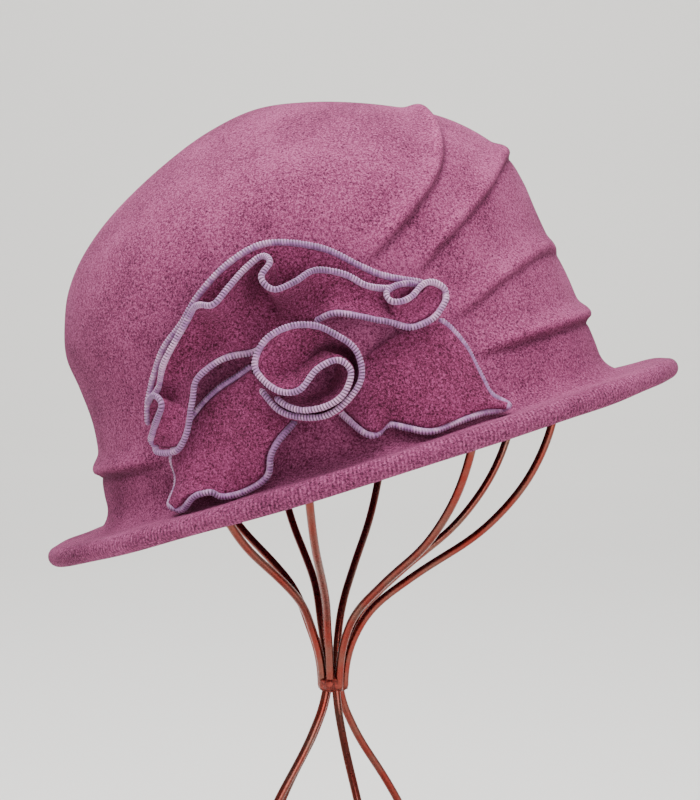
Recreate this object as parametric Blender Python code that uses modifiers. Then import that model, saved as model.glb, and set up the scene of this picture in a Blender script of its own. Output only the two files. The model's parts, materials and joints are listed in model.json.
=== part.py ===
"""A boiled-wool cloche hat with a ruffled side flower, resting on a wire hat stand.

Frame: metres, +Z up, floor at z = 0, origin on the floor under the middle of the brim.
The wearer's left side, which carries the flower, faces -Y, and the hat's long axis lies
along X. On the stand the hat leans towards -X and tips back a little.

The hat has a frame of its own, used by everything sewn to it: u along its length, y across
it and v up its axis, from the middle of the brim. A place on the flower is given by its
turn (degrees from level, seen from the flower's side), its reach from the flower's middle
and its lift off the crown.
"""

import math

import bmesh
import bpy
import numpy as np
from mathutils import Matrix, Vector

# Felt body

CROWN_LENGTH = 0.2000
CROWN_WIDTH = 0.1720
CROWN_TOP = 0.1445
FELT = 0.0030
BRIM_PROJECTION = 0.0275
BRIM_THICKNESS = 0.0065
BRIM_LEVEL = 0.0010
FLARE_RADIUS = 0.0100
AROUND = 40
CROWN_RINGS = 11
CURVE_STEPS = 10
SIDE_SAMPLES = 80
FLARE_STEPS = 4
ROLL_STEPS = 5
INNER_FLARE_STEPS = 3

# The crown's outline seen from the flower's side: shares of CROWN_TOP and of half its length
CROWN_SECTIONS = [
    # height, left, right
    (0.00, 1.005, 1.005),
    (0.12, 1.005, 1.000),
    (0.22, 0.982, 0.985),
    (0.32, 0.965, 0.972),
    (0.42, 0.972, 0.948),
    (0.51, 0.984, 0.932),
    (0.60, 0.965, 0.918),
    (0.68, 0.920, 0.882),
    (0.76, 0.825, 0.800),
    (0.84, 0.670, 0.662),
    (0.92, 0.440, 0.440),
    (0.975, 0.215, 0.215),
    (1.00, 0.000, 0.000),
]

# How the hat sits on its stand

LEAN = math.radians(17.2)
TIP = math.radians(2.2)
BRIM_ABOVE_WAIST = 0.0870
STAND_OFFSET = 0.0122

# Sewn tucks, each a fold that stands proud of the crown

TUCK_WIDTH = 0.0078
TUCK_HEIGHT = 0.0032
TUCK_ROOT = 0.0016
TUCK_FADE = 0.0240
TUCK_STEP = 0.0100

# Shares of the tuck's width (across, plus is the steep side) and of its height (rise)
TUCK_SECTION = [
    # across, rise
    (-0.60, 0.00),
    (-0.30, 0.62),
    (0.05, 1.00),
    (0.30, 0.90),
    (0.42, 0.50),
    (0.40, 0.00),
]
# The two corners sunk in the felt under it, as shares of the tuck's width
TUCK_ROOT_CORNERS = (0.20, -0.40)

# Each tuck's share of TUCK_HEIGHT and its crest: azimuth about the hat's axis (0 is the
# right end, 270 the flower's side) and height as a share of CROWN_TOP
TUCKS = {
    "top": (1.0, [(283, 0.495), (293, 0.560), (307, 0.660), (321, 0.775), (335, 0.845),
                  (355, 0.870)]),
    "upper": (0.9, [(292, 0.430), (303, 0.500), (323, 0.605), (340, 0.675), (362, 0.700)]),
    "middle": (0.7, [(296, 0.305), (314, 0.370), (334, 0.412), (348, 0.412), (358, 0.408)]),
    "low": (1.0, [(300, 0.213), (345, 0.216), (390, 0.214), (450, 0.208), (540, 0.203),
                  (588, 0.187)]),
}

# Flower

FLOWER_AHEAD = -0.0074
FLOWER_HEIGHT = 0.0397
FLOWER_REACH = 0.0600
FLOWER_LIFT = 0.0200
FLOWER_FELT = 0.0020
PETAL_BELLY = 0.0010
EDGING = 0.0028
SEAT_GAP = 0.0003
STATIONS_A_ROW = 2
PETAL_ACROSS = 3
FARTHEST_OUT = 0.98

# Where the edging starts and stops on a petal's inner edge, in rows from its nearer tip
RUFFLE_TAIL = 7
RUFFLE_HEAD = 6
RIGHT_PETAL_START = 3
RIGHT_PETAL_FINISH = 0
LEFT_PETAL_START = 0
LEFT_PETAL_FINISH = 0

# Each row is a place along a petal: the outer edge's turn, reach and lift, then the inner
# edge's. Reaches are shares of FLOWER_REACH, lifts of FLOWER_LIFT.
BACK_PETAL = [
    # outer edge         inner edge
    (198, 1.02, 0.34, 193, 0.80, 0.20),
    (189, 0.97, 0.36, 184, 0.62, 0.14),
    (173, 0.88, 0.36, 170, 0.50, 0.09),
    (160, 0.80, 0.34, 156, 0.44, 0.067),
    (145, 0.78, 0.38, 143, 0.42, 0.067),
    (126, 0.78, 0.40, 126, 0.42, 0.067),
    (108, 0.78, 0.38, 108, 0.40, 0.067),
    (85, 0.72, 0.36, 86, 0.40, 0.080),
    (64, 0.68, 0.38, 68, 0.40, 0.13),
    (51, 0.71, 0.38, 54, 0.46, 0.18),
    (37, 0.85, 0.34, 44, 0.62, 0.24),
]
RUFFLE = [
    (204, 0.99, 0.54, 207, 0.96, 0.52),
    (197, 0.95, 0.70, 209, 0.89, 0.54),
    (190, 0.93, 0.66, 204, 0.76, 0.62),
    (177, 0.85, 0.66, 193, 0.68, 0.62),
    (165, 0.79, 0.64, 182, 0.63, 0.62),
    (154, 0.76, 0.66, 172, 0.52, 0.56),
    (149, 0.74, 0.86, 165, 0.43, 0.48),
    (145, 0.67, 1.00, 158, 0.34, 0.36),
    (134, 0.67, 0.86, 146, 0.30, 0.20),
    (122, 0.70, 0.66, 134, 0.29, 0.075),
    (112, 0.72, 0.66, 124, 0.29, 0.062),
    (109, 0.67, 0.86, 117, 0.29, 0.062),
    (116, 0.61, 1.00, 112, 0.29, 0.062),
    (112, 0.52, 1.00, 106, 0.29, 0.080),
    (98, 0.53, 0.86, 96, 0.29, 0.24),
    (86, 0.59, 0.66, 84, 0.29, 0.44),
    (70, 0.60, 0.64, 67, 0.36, 0.64),
    (56, 0.60, 0.64, 50, 0.42, 0.60),
    (43, 0.65, 0.62, 36, 0.50, 0.58),
    (38, 0.75, 0.60, 26, 0.61, 0.58),
    (34, 0.86, 0.58, 25, 0.74, 0.56),
    (32, 0.91, 0.56, 28, 0.86, 0.56),
]
RIGHT_PETAL = [
    (14, 0.35, 0.055, -47, 0.35, 0.130),
    (22, 0.52, 0.18, -43, 0.52, 0.38),
    (23, 0.68, 0.28, -31, 0.56, 0.26),
    (21, 0.82, 0.32, -27, 0.68, 0.34),
    (10, 0.92, 0.32, -24, 0.80, 0.44),
    (-1, 1.00, 0.30, -17, 0.92, 0.40),
    (-6, 1.08, 0.36, -12, 1.04, 0.42),
    (-7, 1.18, 0.48, -10, 1.15, 0.50),
]
LEFT_PETAL = [
    (178, 0.35, 0.26, 250, 0.34, 0.26),
    (187, 0.44, 0.28, 243, 0.45, 0.44),
    (193, 0.56, 0.26, 243, 0.56, 0.44),
    (200, 0.70, 0.24, 246, 0.67, 0.40),
    (207, 0.86, 0.26, 240, 0.80, 0.40),
    (212, 0.97, 0.30, 234, 0.89, 0.48),
    (218, 1.01, 0.32, 229, 0.93, 0.58),
    (221, 1.06, 0.38, 226, 1.01, 0.64),
    (223, 1.14, 0.50, 226, 1.12, 0.62),
]
# The rosette is one strip stood on edge: its top edge, then its foot
ROSETTE = [
    (203, 0.30, 0.80, 215, 0.18, 0.09),
    (235, 0.29, 0.86, 240, 0.19, 0.035),
    (265, 0.28, 0.90, 265, 0.20, 0.028),
    (295, 0.29, 0.94, 293, 0.20, 0.028),
    (325, 0.30, 0.98, 325, 0.20, 0.028),
    (355, 0.33, 1.02, 355, 0.21, 0.028),
    (385, 0.32, 1.06, 385, 0.19, 0.035),
    (415, 0.28, 1.10, 415, 0.16, 0.10),
    (445, 0.27, 1.14, 445, 0.14, 0.16),
    (475, 0.28, 1.16, 475, 0.13, 0.22),
    (505, 0.30, 1.16, 510, 0.13, 0.30),
    (535, 0.30, 1.14, 540, 0.14, 0.38),
    (565, 0.22, 1.12, 570, 0.12, 0.40),
    (600, 0.13, 1.14, 600, 0.06, 0.44),
    (745, 0.08, 1.16, 700, 0.02, 0.46),
    (745, 0.19, 1.14, 740, 0.08, 0.44),
    (722, 0.25, 1.10, 722, 0.13, 0.42),
    (690, 0.25, 1.09, 690, 0.14, 0.40),
    (660, 0.24, 1.06, 655, 0.14, 0.40),
    (625, 0.235, 1.02, 620, 0.14, 0.40),
    (600, 0.24, 0.98, 598, 0.145, 0.38),
    (583, 0.245, 0.94, 583, 0.15, 0.36),
]

# Wire stand

WIRE = 0.0032
TUBE_SIDES = 6
WAIST_HEIGHT = 0.1500
COLLAR_DIAMETER = 0.0126
COLLAR_LENGTH = 0.0070
DISC_SIDES = 24
DISC_EDGE_SHARE = 0.20
SEAT_SAMPLES = 16
DOME_STEPS = 5
RING_STEPS = 36
RIB_PITCH_RADIUS = 0.0047
# The cage stands inside the crown, with this much room at its ends and at its sides
CAGE_ROOM_ALONG = 0.0090
CAGE_ROOM_ACROSS = 0.0050
CAGE_RADIUS = CROWN_LENGTH / 2 - FELT - CAGE_ROOM_ALONG
CAGE_DEPTH = CROWN_WIDTH / 2 - FELT - CAGE_ROOM_ACROSS
CAGE_WIDEST = 0.1150
TOP_DISC_DIAMETER = 0.0180
TOP_DISC_THICKNESS = 0.0040
BASE_RADIUS = 0.0950
LEG_PITCH_RADIUS = 0.0027
RIB_AZIMUTHS = [0, 38, 76, 106, 130, 230, 263, 314]
FIRST_RIB_AT_WAIST = -13
RIB_FAN = 0.0250
LEG_AZIMUTHS = [38, 128, 218, 292]

# The ribs' open lower stretch: shares of CAGE_RADIUS and of CAGE_WIDEST
RIB_ROWS = [
    # reach, height
    (0.089, 0.100),
    (0.134, 0.188),
    (0.227, 0.287),
    (0.432, 0.400),
    (0.660, 0.518),
    (0.864, 0.690),
    (0.975, 0.876),
    (1.000, 1.000),
]
# The legs: shares of BASE_RADIUS and of WAIST_HEIGHT
LEG_ROWS = [
    # reach, height
    (0.047, 0.949),
    (0.130, 0.847),
    (0.310, 0.690),
    (0.560, 0.430),
    (0.800, 0.190),
]

COLOURS = {
    # red, green, blue, roughness, metallic
    "felt": (0.270, 0.075, 0.120, 0.95, 0.0),
    "petal_felt": (0.240, 0.065, 0.105, 0.95, 0.0),
    "thread": (0.500, 0.330, 0.420, 0.70, 0.0),
    "wire": (0.420, 0.130, 0.080, 0.30, 1.0),
}


def clear_scene():
    for item in list(bpy.data.objects):
        bpy.data.objects.remove(item, do_unlink=True)


def new_collection(name):
    collection = bpy.data.collections.new(name)
    bpy.context.scene.collection.children.link(collection)
    return collection


def material(name):
    found = bpy.data.materials.get(name)
    if found:
        return found
    red, green, blue, roughness, metallic = COLOURS[name]
    made = bpy.data.materials.new(name)
    made.use_nodes = True
    shader = made.node_tree.nodes["Principled BSDF"]
    shader.inputs["Base Color"].default_value = (red, green, blue, 1.0)
    shader.inputs["Roughness"].default_value = roughness
    shader.inputs["Metallic"].default_value = metallic
    return made


def smooth_rows(rows, per_row):
    """Points on a Catmull-Rom curve through the rows, per_row of them for each interval."""
    rows = np.asarray(rows, float)
    before = 2 * rows[0] - rows[1]
    after = 2 * rows[-1] - rows[-2]
    padded = np.vstack([before, rows, after])
    points = []
    for index in range(len(rows) - 1):
        a, b, c, d = padded[index : index + 4]
        for step in range(per_row):
            t = step / per_row
            points.append(
                0.5 * (2 * b + (c - a) * t + (2 * a - 5 * b + 4 * c - d) * t**2
                       + (3 * b - a - 3 * c + d) * t**3)
            )
    points.append(rows[-1])
    return np.array(points)


def evenly(rows, points, count):
    """Rows read at count + 1 even distances along the curve that their points make."""
    lengths = np.linalg.norm(np.diff(points, axis=0), axis=1)
    along = np.concatenate([[0.0], np.cumsum(lengths)])
    wanted = np.linspace(0.0, along[-1], count + 1)
    return np.column_stack([np.interp(wanted, along, column) for column in np.transpose(rows)])


def unit(vector):
    return vector / np.linalg.norm(vector)


def square_to(vector, along):
    """The unit vector nearest to this one that is at right angles to along."""
    return unit(vector - along * np.dot(vector, along))


def crown_curve():
    """The crown's meridian as many rows of height, left and right shares, foot to top.

    The top row is mirrored past the axis, so that the crown ends round and not pointed.
    """
    height, left, right = CROWN_SECTIONS[-2]
    past_top = (height, -left, -right)
    rows = smooth_rows(CROWN_SECTIONS + [past_top], CURVE_STEPS)
    return rows[:-CURVE_STEPS]


CROWN_CURVE = crown_curve()


def crown_section(height, swell=0.0):
    """The crown's ellipse at a height: its middle, half length and half width.

    A swelled crown is the same form with every side and the top moved out by the swell.
    """
    share = height / (CROWN_TOP + swell)
    left = np.interp(share, CROWN_CURVE[:, 0], CROWN_CURVE[:, 1])
    right = np.interp(share, CROWN_CURVE[:, 0], CROWN_CURVE[:, 2])
    half_length = CROWN_LENGTH / 2 + swell
    middle = half_length * (right - left) / 2
    mean = (left + right) / 2
    return middle, half_length * mean, (CROWN_WIDTH / 2 + swell) * mean


def crown_point(azimuth, height, swell=0.0):
    """A place on the crown, by its azimuth in degrees and its height."""
    middle, half_length, half_width = crown_section(height, swell)
    angle = math.radians(azimuth)
    return np.array([middle + half_length * math.cos(angle), half_width * math.sin(angle), height])


def crown_normal(azimuth, height):
    """The outward direction at a place on the crown, from its neighbours."""
    reach = CROWN_TOP / 200
    round_it = crown_point(azimuth + 1, height) - crown_point(azimuth - 1, height)
    up_it = crown_point(azimuth, height + reach) - crown_point(azimuth, height - reach)
    return unit(np.cross(round_it, up_it))


def flower_point(across, up, lift):
    """A place on the flower's side of the crown, on the crown swelled by the lift."""
    ahead = FLOWER_AHEAD + across
    height = FLOWER_HEIGHT + up
    middle, half_length, half_width = crown_section(height, lift)
    share = min(abs(ahead - middle) / half_length, FARTHEST_OUT)
    return np.array([ahead, -half_width * math.sqrt(1 - share**2), height])


def flower_row(turn, reach, lift, rim):
    """A table's turn and shares as lengths across, up and off the flower, less the rim."""
    angle = math.radians(turn) - LEAN
    length = reach * FLOWER_REACH - rim
    return (length * math.cos(angle), length * math.sin(angle), lift * FLOWER_LIFT)


def hat_matrix():
    """From the hat's frame to the world: tipped back, leant over and set over the stand."""
    place = Matrix.Translation((0.0, 0.0, WAIST_HEIGHT + BRIM_ABOVE_WAIST))
    return place @ Matrix.Rotation(-LEAN, 4, "Y") @ Matrix.Rotation(-TIP, 4, "X")


def mesh_object(name, vertices, faces, material_name, collection):
    mesh = bpy.data.meshes.new(name)
    mesh.from_pydata([tuple(vertex) for vertex in vertices], [], faces)
    mesh.validate()
    mesh.materials.append(material(material_name))
    mesh.shade_smooth()
    made = bpy.data.objects.new(name, mesh)
    collection.objects.link(made)
    return made


def tube_object(name, points, radius, material_name, collection, cyclic=False):
    """A round wire through the points: a curve with a bevel of TUBE_SIDES and filled caps."""
    curve = bpy.data.curves.new(name, "CURVE")
    curve.dimensions = "3D"
    curve.bevel_depth = radius
    curve.bevel_resolution = (TUBE_SIDES - 4) // 2
    curve.use_fill_caps = not cyclic
    curve.materials.append(material(material_name))
    spline = curve.splines.new("POLY")
    spline.points.add(len(points) - 1)
    for place, point in zip(spline.points, points):
        place.co = (*point, 1.0)
    spline.use_cyclic_u = cyclic
    made = bpy.data.objects.new(name, curve)
    collection.objects.link(made)
    return made


def crown_levels(foot, swell, rings):
    """Heights of the rings of one side of the crown, evenly along it, top to foot."""
    top = CROWN_TOP + swell
    angles = np.linspace(0.0, math.pi / 2, SIDE_SAMPLES + 1)
    heights = foot + (top - foot) * np.sin(angles)
    points = [crown_point(0.0, height, swell) for height in heights]
    levels = evenly(np.transpose([heights]), points, rings)[:, 0]
    return list(reversed(levels))[1:]


def body_profile():
    """The felt's section, from the top's outside round the brim to the top's inside.

    Each station is the height at which the crown's ellipse is read, the swell that it is
    read with, how far it is then set out, and its own height.
    """
    top_of_brim = BRIM_LEVEL + BRIM_THICKNESS / 2
    foot_of_brim = BRIM_LEVEL - BRIM_THICKNESS / 2
    foot = top_of_brim + FLARE_RADIUS
    stations = [(level, 0.0, 0.0, level) for level in crown_levels(foot, 0.0, CROWN_RINGS)]
    for step in range(1, FLARE_STEPS + 1):
        angle = math.pi / 2 * step / FLARE_STEPS
        stations.append((foot, 0.0, FLARE_RADIUS * (1 - math.cos(angle)),
                         top_of_brim + FLARE_RADIUS * (1 - math.sin(angle))))
    roll = BRIM_THICKNESS / 2
    for step in range(ROLL_STEPS + 1):
        angle = math.pi / 2 - math.pi * step / ROLL_STEPS
        stations.append((foot, 0.0, BRIM_PROJECTION - roll + roll * math.cos(angle),
                         BRIM_LEVEL + roll * math.sin(angle)))
    inner_flare = FLARE_RADIUS + FELT
    inner_foot = foot_of_brim + inner_flare
    for step in range(INNER_FLARE_STEPS):
        angle = math.pi / 2 * (1 - step / INNER_FLARE_STEPS)
        stations.append((inner_foot, -FELT, inner_flare * (1 - math.cos(angle)),
                         foot_of_brim + inner_flare * (1 - math.sin(angle))))
    inner = crown_levels(inner_foot, -FELT, CROWN_RINGS - 1)
    stations += [(level, -FELT, 0.0, level) for level in reversed(inner)]
    return stations


def felt_body(collection):
    """The crown and brim as one felt shell, lofted through rings of unlike ellipses."""
    vertices = [(0.0, 0.0, CROWN_TOP)]
    stations = body_profile()
    for section, swell, outset, height in stations:
        middle, half_length, half_width = crown_section(section, swell)
        for step in range(AROUND):
            angle = 2 * math.pi * step / AROUND
            vertices.append((
                middle + (half_length + outset) * math.cos(angle),
                (half_width + outset) * math.sin(angle),
                height,
            ))
    vertices.append((0.0, 0.0, CROWN_TOP - FELT))
    last = len(vertices) - 1
    faces = []
    for step in range(AROUND):
        following = (step + 1) % AROUND
        faces.append((0, 1 + step, 1 + following))
        low = last - AROUND
        faces.append((last, low + following, low + step))
    for ring in range(len(stations) - 1):
        start = 1 + ring * AROUND
        for step in range(AROUND):
            following = (step + 1) % AROUND
            faces.append((start + step, start + AROUND + step,
                          start + AROUND + following, start + following))
    body = mesh_object("hat_body", vertices, faces, "felt", collection)
    body.matrix_world = hat_matrix()
    return body


def tuck_fold(name, stands, rows, collection):
    """A sewn fold: the tuck's section carried along its crest, sunk into the wall at its ends."""
    rows = smooth_rows(rows, CURVE_STEPS) * (1.0, CROWN_TOP)
    points = np.array([crown_point(*row) for row in rows])
    length = np.linalg.norm(np.diff(points, axis=0), axis=1).sum()
    rows = evenly(rows, points, round(length / TUCK_STEP))
    path = [crown_point(*row) for row in rows]
    count = len(path)
    vertices = []
    for index, point in enumerate(path):
        ahead = unit(path[min(index + 1, count - 1)] - path[max(index - 1, 0)])
        normal = crown_normal(*rows[index])
        side = unit(np.cross(ahead, normal))
        reach = min(index, count - 1 - index) * TUCK_STEP / TUCK_FADE
        size = stands * math.sin(math.pi / 2 * min(reach, 1.0))
        for across, rise in TUCK_SECTION:
            height = rise * (TUCK_HEIGHT + TUCK_ROOT / 2) * size - TUCK_ROOT / 2
            vertices.append(point + side * across * TUCK_WIDTH + normal * height)
        for across in TUCK_ROOT_CORNERS:
            vertices.append(point + side * across * TUCK_WIDTH - normal * TUCK_ROOT)
    ring = len(TUCK_SECTION) + len(TUCK_ROOT_CORNERS)
    faces = [tuple(range(ring)), tuple(reversed(range((count - 1) * ring, count * ring)))]
    for index in range(count - 1):
        start = index * ring
        for step in range(ring):
            following = (step + 1) % ring
            faces.append((start + step, start + ring + step,
                          start + ring + following, start + following))
    fold = mesh_object(name, vertices, faces, "felt", collection)
    mesh = fold.data
    shape = bmesh.new()
    shape.from_mesh(mesh)
    bmesh.ops.recalc_face_normals(shape, faces=shape.faces)
    shape.to_mesh(mesh)
    shape.free()
    fold.matrix_world = hat_matrix()
    fold.hide_render = True
    fold.display_type = "WIRE"
    return fold


def sew_tucks(body, cutters):
    """Joins each fold to the felt body, so that hat and tucks are one piece of cloth.

    EXACT loses the whole body at the second fold, so these joins use MANIFOLD.
    """
    for label, (stands, rows) in TUCKS.items():
        join = body.modifiers.new("tuck_" + label, "BOOLEAN")
        join.operation = "UNION"
        join.solver = "MANIFOLD"
        join.object = tuck_fold("tuck_fold_" + label, stands, rows, cutters)


def petal_grid(rows, belly, inner_side):
    """The petal's middle surface: stations along it by places from inner to outer edge.

    The felt stops a rim short of the tables' edges, which are the edging's middle. The
    inner side is -1 where the felt lies beyond that edge, 1 within it and 0 at a bare foot.
    """
    rim = EDGING / 2 + SEAT_GAP
    outer = smooth_rows([flower_row(*row[:3], rim) for row in rows], STATIONS_A_ROW)
    inner = smooth_rows([flower_row(*row[3:], rim * inner_side) for row in rows], STATIONS_A_ROW)
    grid = []
    for out, back in zip(outer, inner):
        line = []
        for step in range(PETAL_ACROSS + 1):
            share = step / PETAL_ACROSS
            place = back + (out - back) * share
            lift = place[2] + belly * math.sin(math.pi * share)
            line.append(flower_point(place[0], place[1], lift))
        grid.append(line)
    return np.array(grid)


def petal(name, grid, collection):
    """A petal's surface, thickened to felt on both sides."""
    count, width = grid.shape[:2]
    faces = []
    for i in range(count - 1):
        for j in range(width - 1):
            corner = i * width + j
            faces.append((corner, corner + width, corner + width + 1, corner + 1))
    made = mesh_object(name, grid.reshape(-1, 3), faces, "petal_felt", collection)
    made.matrix_world = hat_matrix()
    thick = made.modifiers.new("felt", "SOLIDIFY")
    thick.thickness = FLOWER_FELT
    thick.offset = 0.0
    return made


def edging_path(grid, walk):
    """The overlocked edge's middle line: the petal's rim, set out by half the edging."""
    count, width = grid.shape[:2]
    points = []
    for i, j in walk:
        along = unit(grid[min(i + 1, count - 1), j] - grid[max(i - 1, 0), j])
        outward = np.zeros(3)
        if j == width - 1:
            outward += square_to(grid[i, j] - grid[i, j - 1], along)
        if j == 0:
            outward += square_to(grid[i, 0] - grid[i, 1], along)
        if i == 0:
            outward -= along
        if i == count - 1:
            outward += along
        points.append(grid[i, j] + outward * (EDGING / 2 + SEAT_GAP))
    return points


def outer_walk(grid):
    return [(i, grid.shape[1] - 1) for i in range(grid.shape[0])]


def tip_walk(grid, start, finish):
    """Along the outer edge from a row, round the far tip and back along the inner edge."""
    count, width = grid.shape[:2]
    out = [(i, width - 1) for i in range(start * STATIONS_A_ROW, count)]
    back = [(i, 0) for i in range(count - 1, finish * STATIONS_A_ROW - 1, -1)]
    return out + back


def ruffle_walk(grid, tail, head):
    """Along the inner edge to one tip, all of the outer edge, and back from the other tip."""
    count, width = grid.shape[:2]
    near = [(i, 0) for i in range(tail * STATIONS_A_ROW, -1, -1)]
    out = [(i, width - 1) for i in range(count)]
    back = [(i, 0) for i in range(count - 1, count - head * STATIONS_A_ROW - 2, -1)]
    return near + out + back


def edging(name, grid, walk, collection):
    made = tube_object(name, edging_path(grid, walk), EDGING / 2, "thread", collection)
    made.matrix_world = hat_matrix()
    return made


def flower(collection):
    """Four petals and the rosette, each with the overlocked thread along its free edge."""
    back = petal_grid(BACK_PETAL, 0.0, -1)
    petal("back_petal", back, collection)
    edging("back_petal_edging", back, outer_walk(back), collection)

    ruffle = petal_grid(RUFFLE, 0.0, -1)
    petal("ruffle", ruffle, collection)
    edging("ruffle_edging", ruffle, ruffle_walk(ruffle, RUFFLE_TAIL, RUFFLE_HEAD), collection)

    right = petal_grid(RIGHT_PETAL, PETAL_BELLY, 1)
    petal("right_petal", right, collection)
    right_walk = tip_walk(right, RIGHT_PETAL_START, RIGHT_PETAL_FINISH)
    edging("right_petal_edging", right, right_walk, collection)

    left = petal_grid(LEFT_PETAL, PETAL_BELLY, 1)
    petal("left_petal", left, collection)
    left_walk = tip_walk(left, LEFT_PETAL_START, LEFT_PETAL_FINISH)
    edging("left_petal_edging", left, left_walk, collection)

    rosette = petal_grid(ROSETTE, 0.0, 0)
    petal("rosette", rosette, collection)
    edging("rosette_edging", rosette, outer_walk(rosette), collection)


def inner_crown_height(x, y):
    """The world height of the crown's inside over a place on the floor."""
    to_hat = hat_matrix().inverted()
    low = WAIST_HEIGHT + BRIM_ABOVE_WAIST
    high = low + CROWN_TOP
    for _ in range(40):
        level = (low + high) / 2
        place = to_hat @ Vector((x, y, level))
        middle, half_length, half_width = crown_section(place.z, -FELT)
        if math.hypot((place.x - middle) / half_length, place.y / half_width) < 1.0:
            low = level
        else:
            high = level
    return low


def seat_height():
    """How high the stand's top disc reaches: a gap under the lowest felt over its rim."""
    radius = TOP_DISC_DIAMETER / 2
    heights = []
    for step in range(SEAT_SAMPLES):
        angle = 2 * math.pi * step / SEAT_SAMPLES
        x = -STAND_OFFSET + radius * math.cos(angle)
        heights.append(inner_crown_height(x, radius * math.sin(angle)))
    return min(heights) - SEAT_GAP


def rib_path(number, azimuth):
    """One rib: out of the collar, along the open rows, over the dome to the top disc.

    At the waist the ribs stand evenly round the collar, and they fan out to their own
    azimuths as they rise.
    """
    top = seat_height() - TOP_DISC_THICKNESS / 2 - WAIST_HEIGHT
    foot = COLLAR_LENGTH / 2 + SEAT_GAP
    rows = smooth_rows([(RIB_PITCH_RADIUS / CAGE_RADIUS, (foot + WIRE) / CAGE_WIDEST)] + RIB_ROWS, 2)
    profile = [(RIB_PITCH_RADIUS, foot)]
    profile += [(reach * CAGE_RADIUS, height * CAGE_WIDEST) for reach, height in rows]
    finish = TOP_DISC_DIAMETER / 2 + SEAT_GAP
    last = math.acos((finish + WIRE) / CAGE_RADIUS)
    for step in range(1, DOME_STEPS + 1):
        angle = last * step / DOME_STEPS
        profile.append((CAGE_RADIUS * math.cos(angle),
                        CAGE_WIDEST + (top - CAGE_WIDEST) * math.sin(angle) / math.sin(last)))
    profile.append((finish, top))
    at_waist = FIRST_RIB_AT_WAIST + number * 360 / len(RIB_AZIMUTHS)
    points = []
    for reach, height in profile:
        spread = min(max((reach - RIB_PITCH_RADIUS) / RIB_FAN, 0.0), 1.0)
        turn = math.radians(at_waist + (azimuth - at_waist) * spread)
        wide = min(max((reach - RIB_PITCH_RADIUS) / (CAGE_RADIUS / 2), 0.0), 1.0)
        depth = 1.0 + (CAGE_DEPTH / CAGE_RADIUS - 1.0) * wide
        points.append((-STAND_OFFSET + reach * math.cos(turn),
                       reach * depth * math.sin(turn),
                       WAIST_HEIGHT + height))
    return points


def leg_path(azimuth):
    """One leg: from under the collar out to the base ring, stopped a gap short of it."""
    head = WAIST_HEIGHT - COLLAR_LENGTH / 2 - SEAT_GAP
    rows = [(LEG_PITCH_RADIUS / BASE_RADIUS, (head - WIRE / 2) / WAIST_HEIGHT)] + LEG_ROWS
    profile = [Vector((LEG_PITCH_RADIUS, 0.0, head))]
    for reach, height in smooth_rows(rows, 2):
        profile.append(Vector((reach * BASE_RADIUS, 0.0, height * WAIST_HEIGHT)))
    ring = Vector((BASE_RADIUS, 0.0, ring_level()))
    approach = (ring - profile[-1]).normalized()
    profile.append(ring - approach * (WIRE / 2 + SEAT_GAP))
    turn = Matrix.Rotation(math.radians(azimuth), 4, "Z")
    return [turn @ point + Vector((-STAND_OFFSET, 0.0, 0.0)) for point in profile]


def ring_level():
    """The height of the base ring's middle: its flat underside lies on the floor."""
    return WIRE / 2 * math.cos(math.pi / TUBE_SIDES)


def turned_disc(name, diameter, thickness, middle, collection):
    """A plain round piece with softened edges, standing on the stand's axis."""
    mesh = bpy.data.meshes.new(name)
    shape = bmesh.new()
    bmesh.ops.create_cone(shape, cap_ends=True, segments=DISC_SIDES, radius1=diameter / 2,
                          radius2=diameter / 2, depth=thickness)
    shape.to_mesh(mesh)
    shape.free()
    mesh.materials.append(material("wire"))
    mesh.shade_smooth()
    mesh.set_sharp_from_angle(angle=math.radians(40))
    made = bpy.data.objects.new(name, mesh)
    made.location = (-STAND_OFFSET, 0.0, middle)
    collection.objects.link(made)
    edge = made.modifiers.new("edge", "BEVEL")
    edge.width = thickness * DISC_EDGE_SHARE
    edge.segments = 1
    edge.limit_method = "ANGLE"
    return made


def stand(collection):
    """The wire stand: eight ribs, waist collar, top disc, three legs and the base ring."""
    turned_disc("waist_collar", COLLAR_DIAMETER, COLLAR_LENGTH, WAIST_HEIGHT, collection)
    turned_disc("top_disc", TOP_DISC_DIAMETER, TOP_DISC_THICKNESS,
                seat_height() - TOP_DISC_THICKNESS / 2, collection)
    for number, azimuth in enumerate(RIB_AZIMUTHS):
        tube_object(f"rib_{number + 1}", rib_path(number, azimuth), WIRE / 2, "wire", collection)
    for number, azimuth in enumerate(LEG_AZIMUTHS, 1):
        tube_object(f"leg_{number}", leg_path(azimuth), WIRE / 2, "wire", collection)
    circle = []
    for step in range(RING_STEPS):
        angle = 2 * math.pi * step / RING_STEPS
        circle.append((-STAND_OFFSET + BASE_RADIUS * math.cos(angle),
                       BASE_RADIUS * math.sin(angle), ring_level()))
    tube_object("base_ring", circle, WIRE / 2, "wire", collection, cyclic=True)


def main():
    clear_scene()
    parts = new_collection("cloche_hat")
    cutters = new_collection("cutters")
    body = felt_body(parts)
    sew_tucks(body, cutters)
    flower(parts)
    stand(parts)


main()
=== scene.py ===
"""The looks of a boiled-wool cloche hat on its wire stand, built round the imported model.

Frame: metres, +Z up, floor at z = 0, the flower's side of the hat faces -Y. Shapes on the hat
are worked out in the hat's own frame: u along its length, y across it, v up its axis, from
the middle of the brim. A place on the flower is given by its turn (degrees from level), its
reach from the flower's middle and its lift off the crown.
"""

import json
import math

import bpy
import numpy as np
from mathutils import Matrix, Vector

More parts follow.
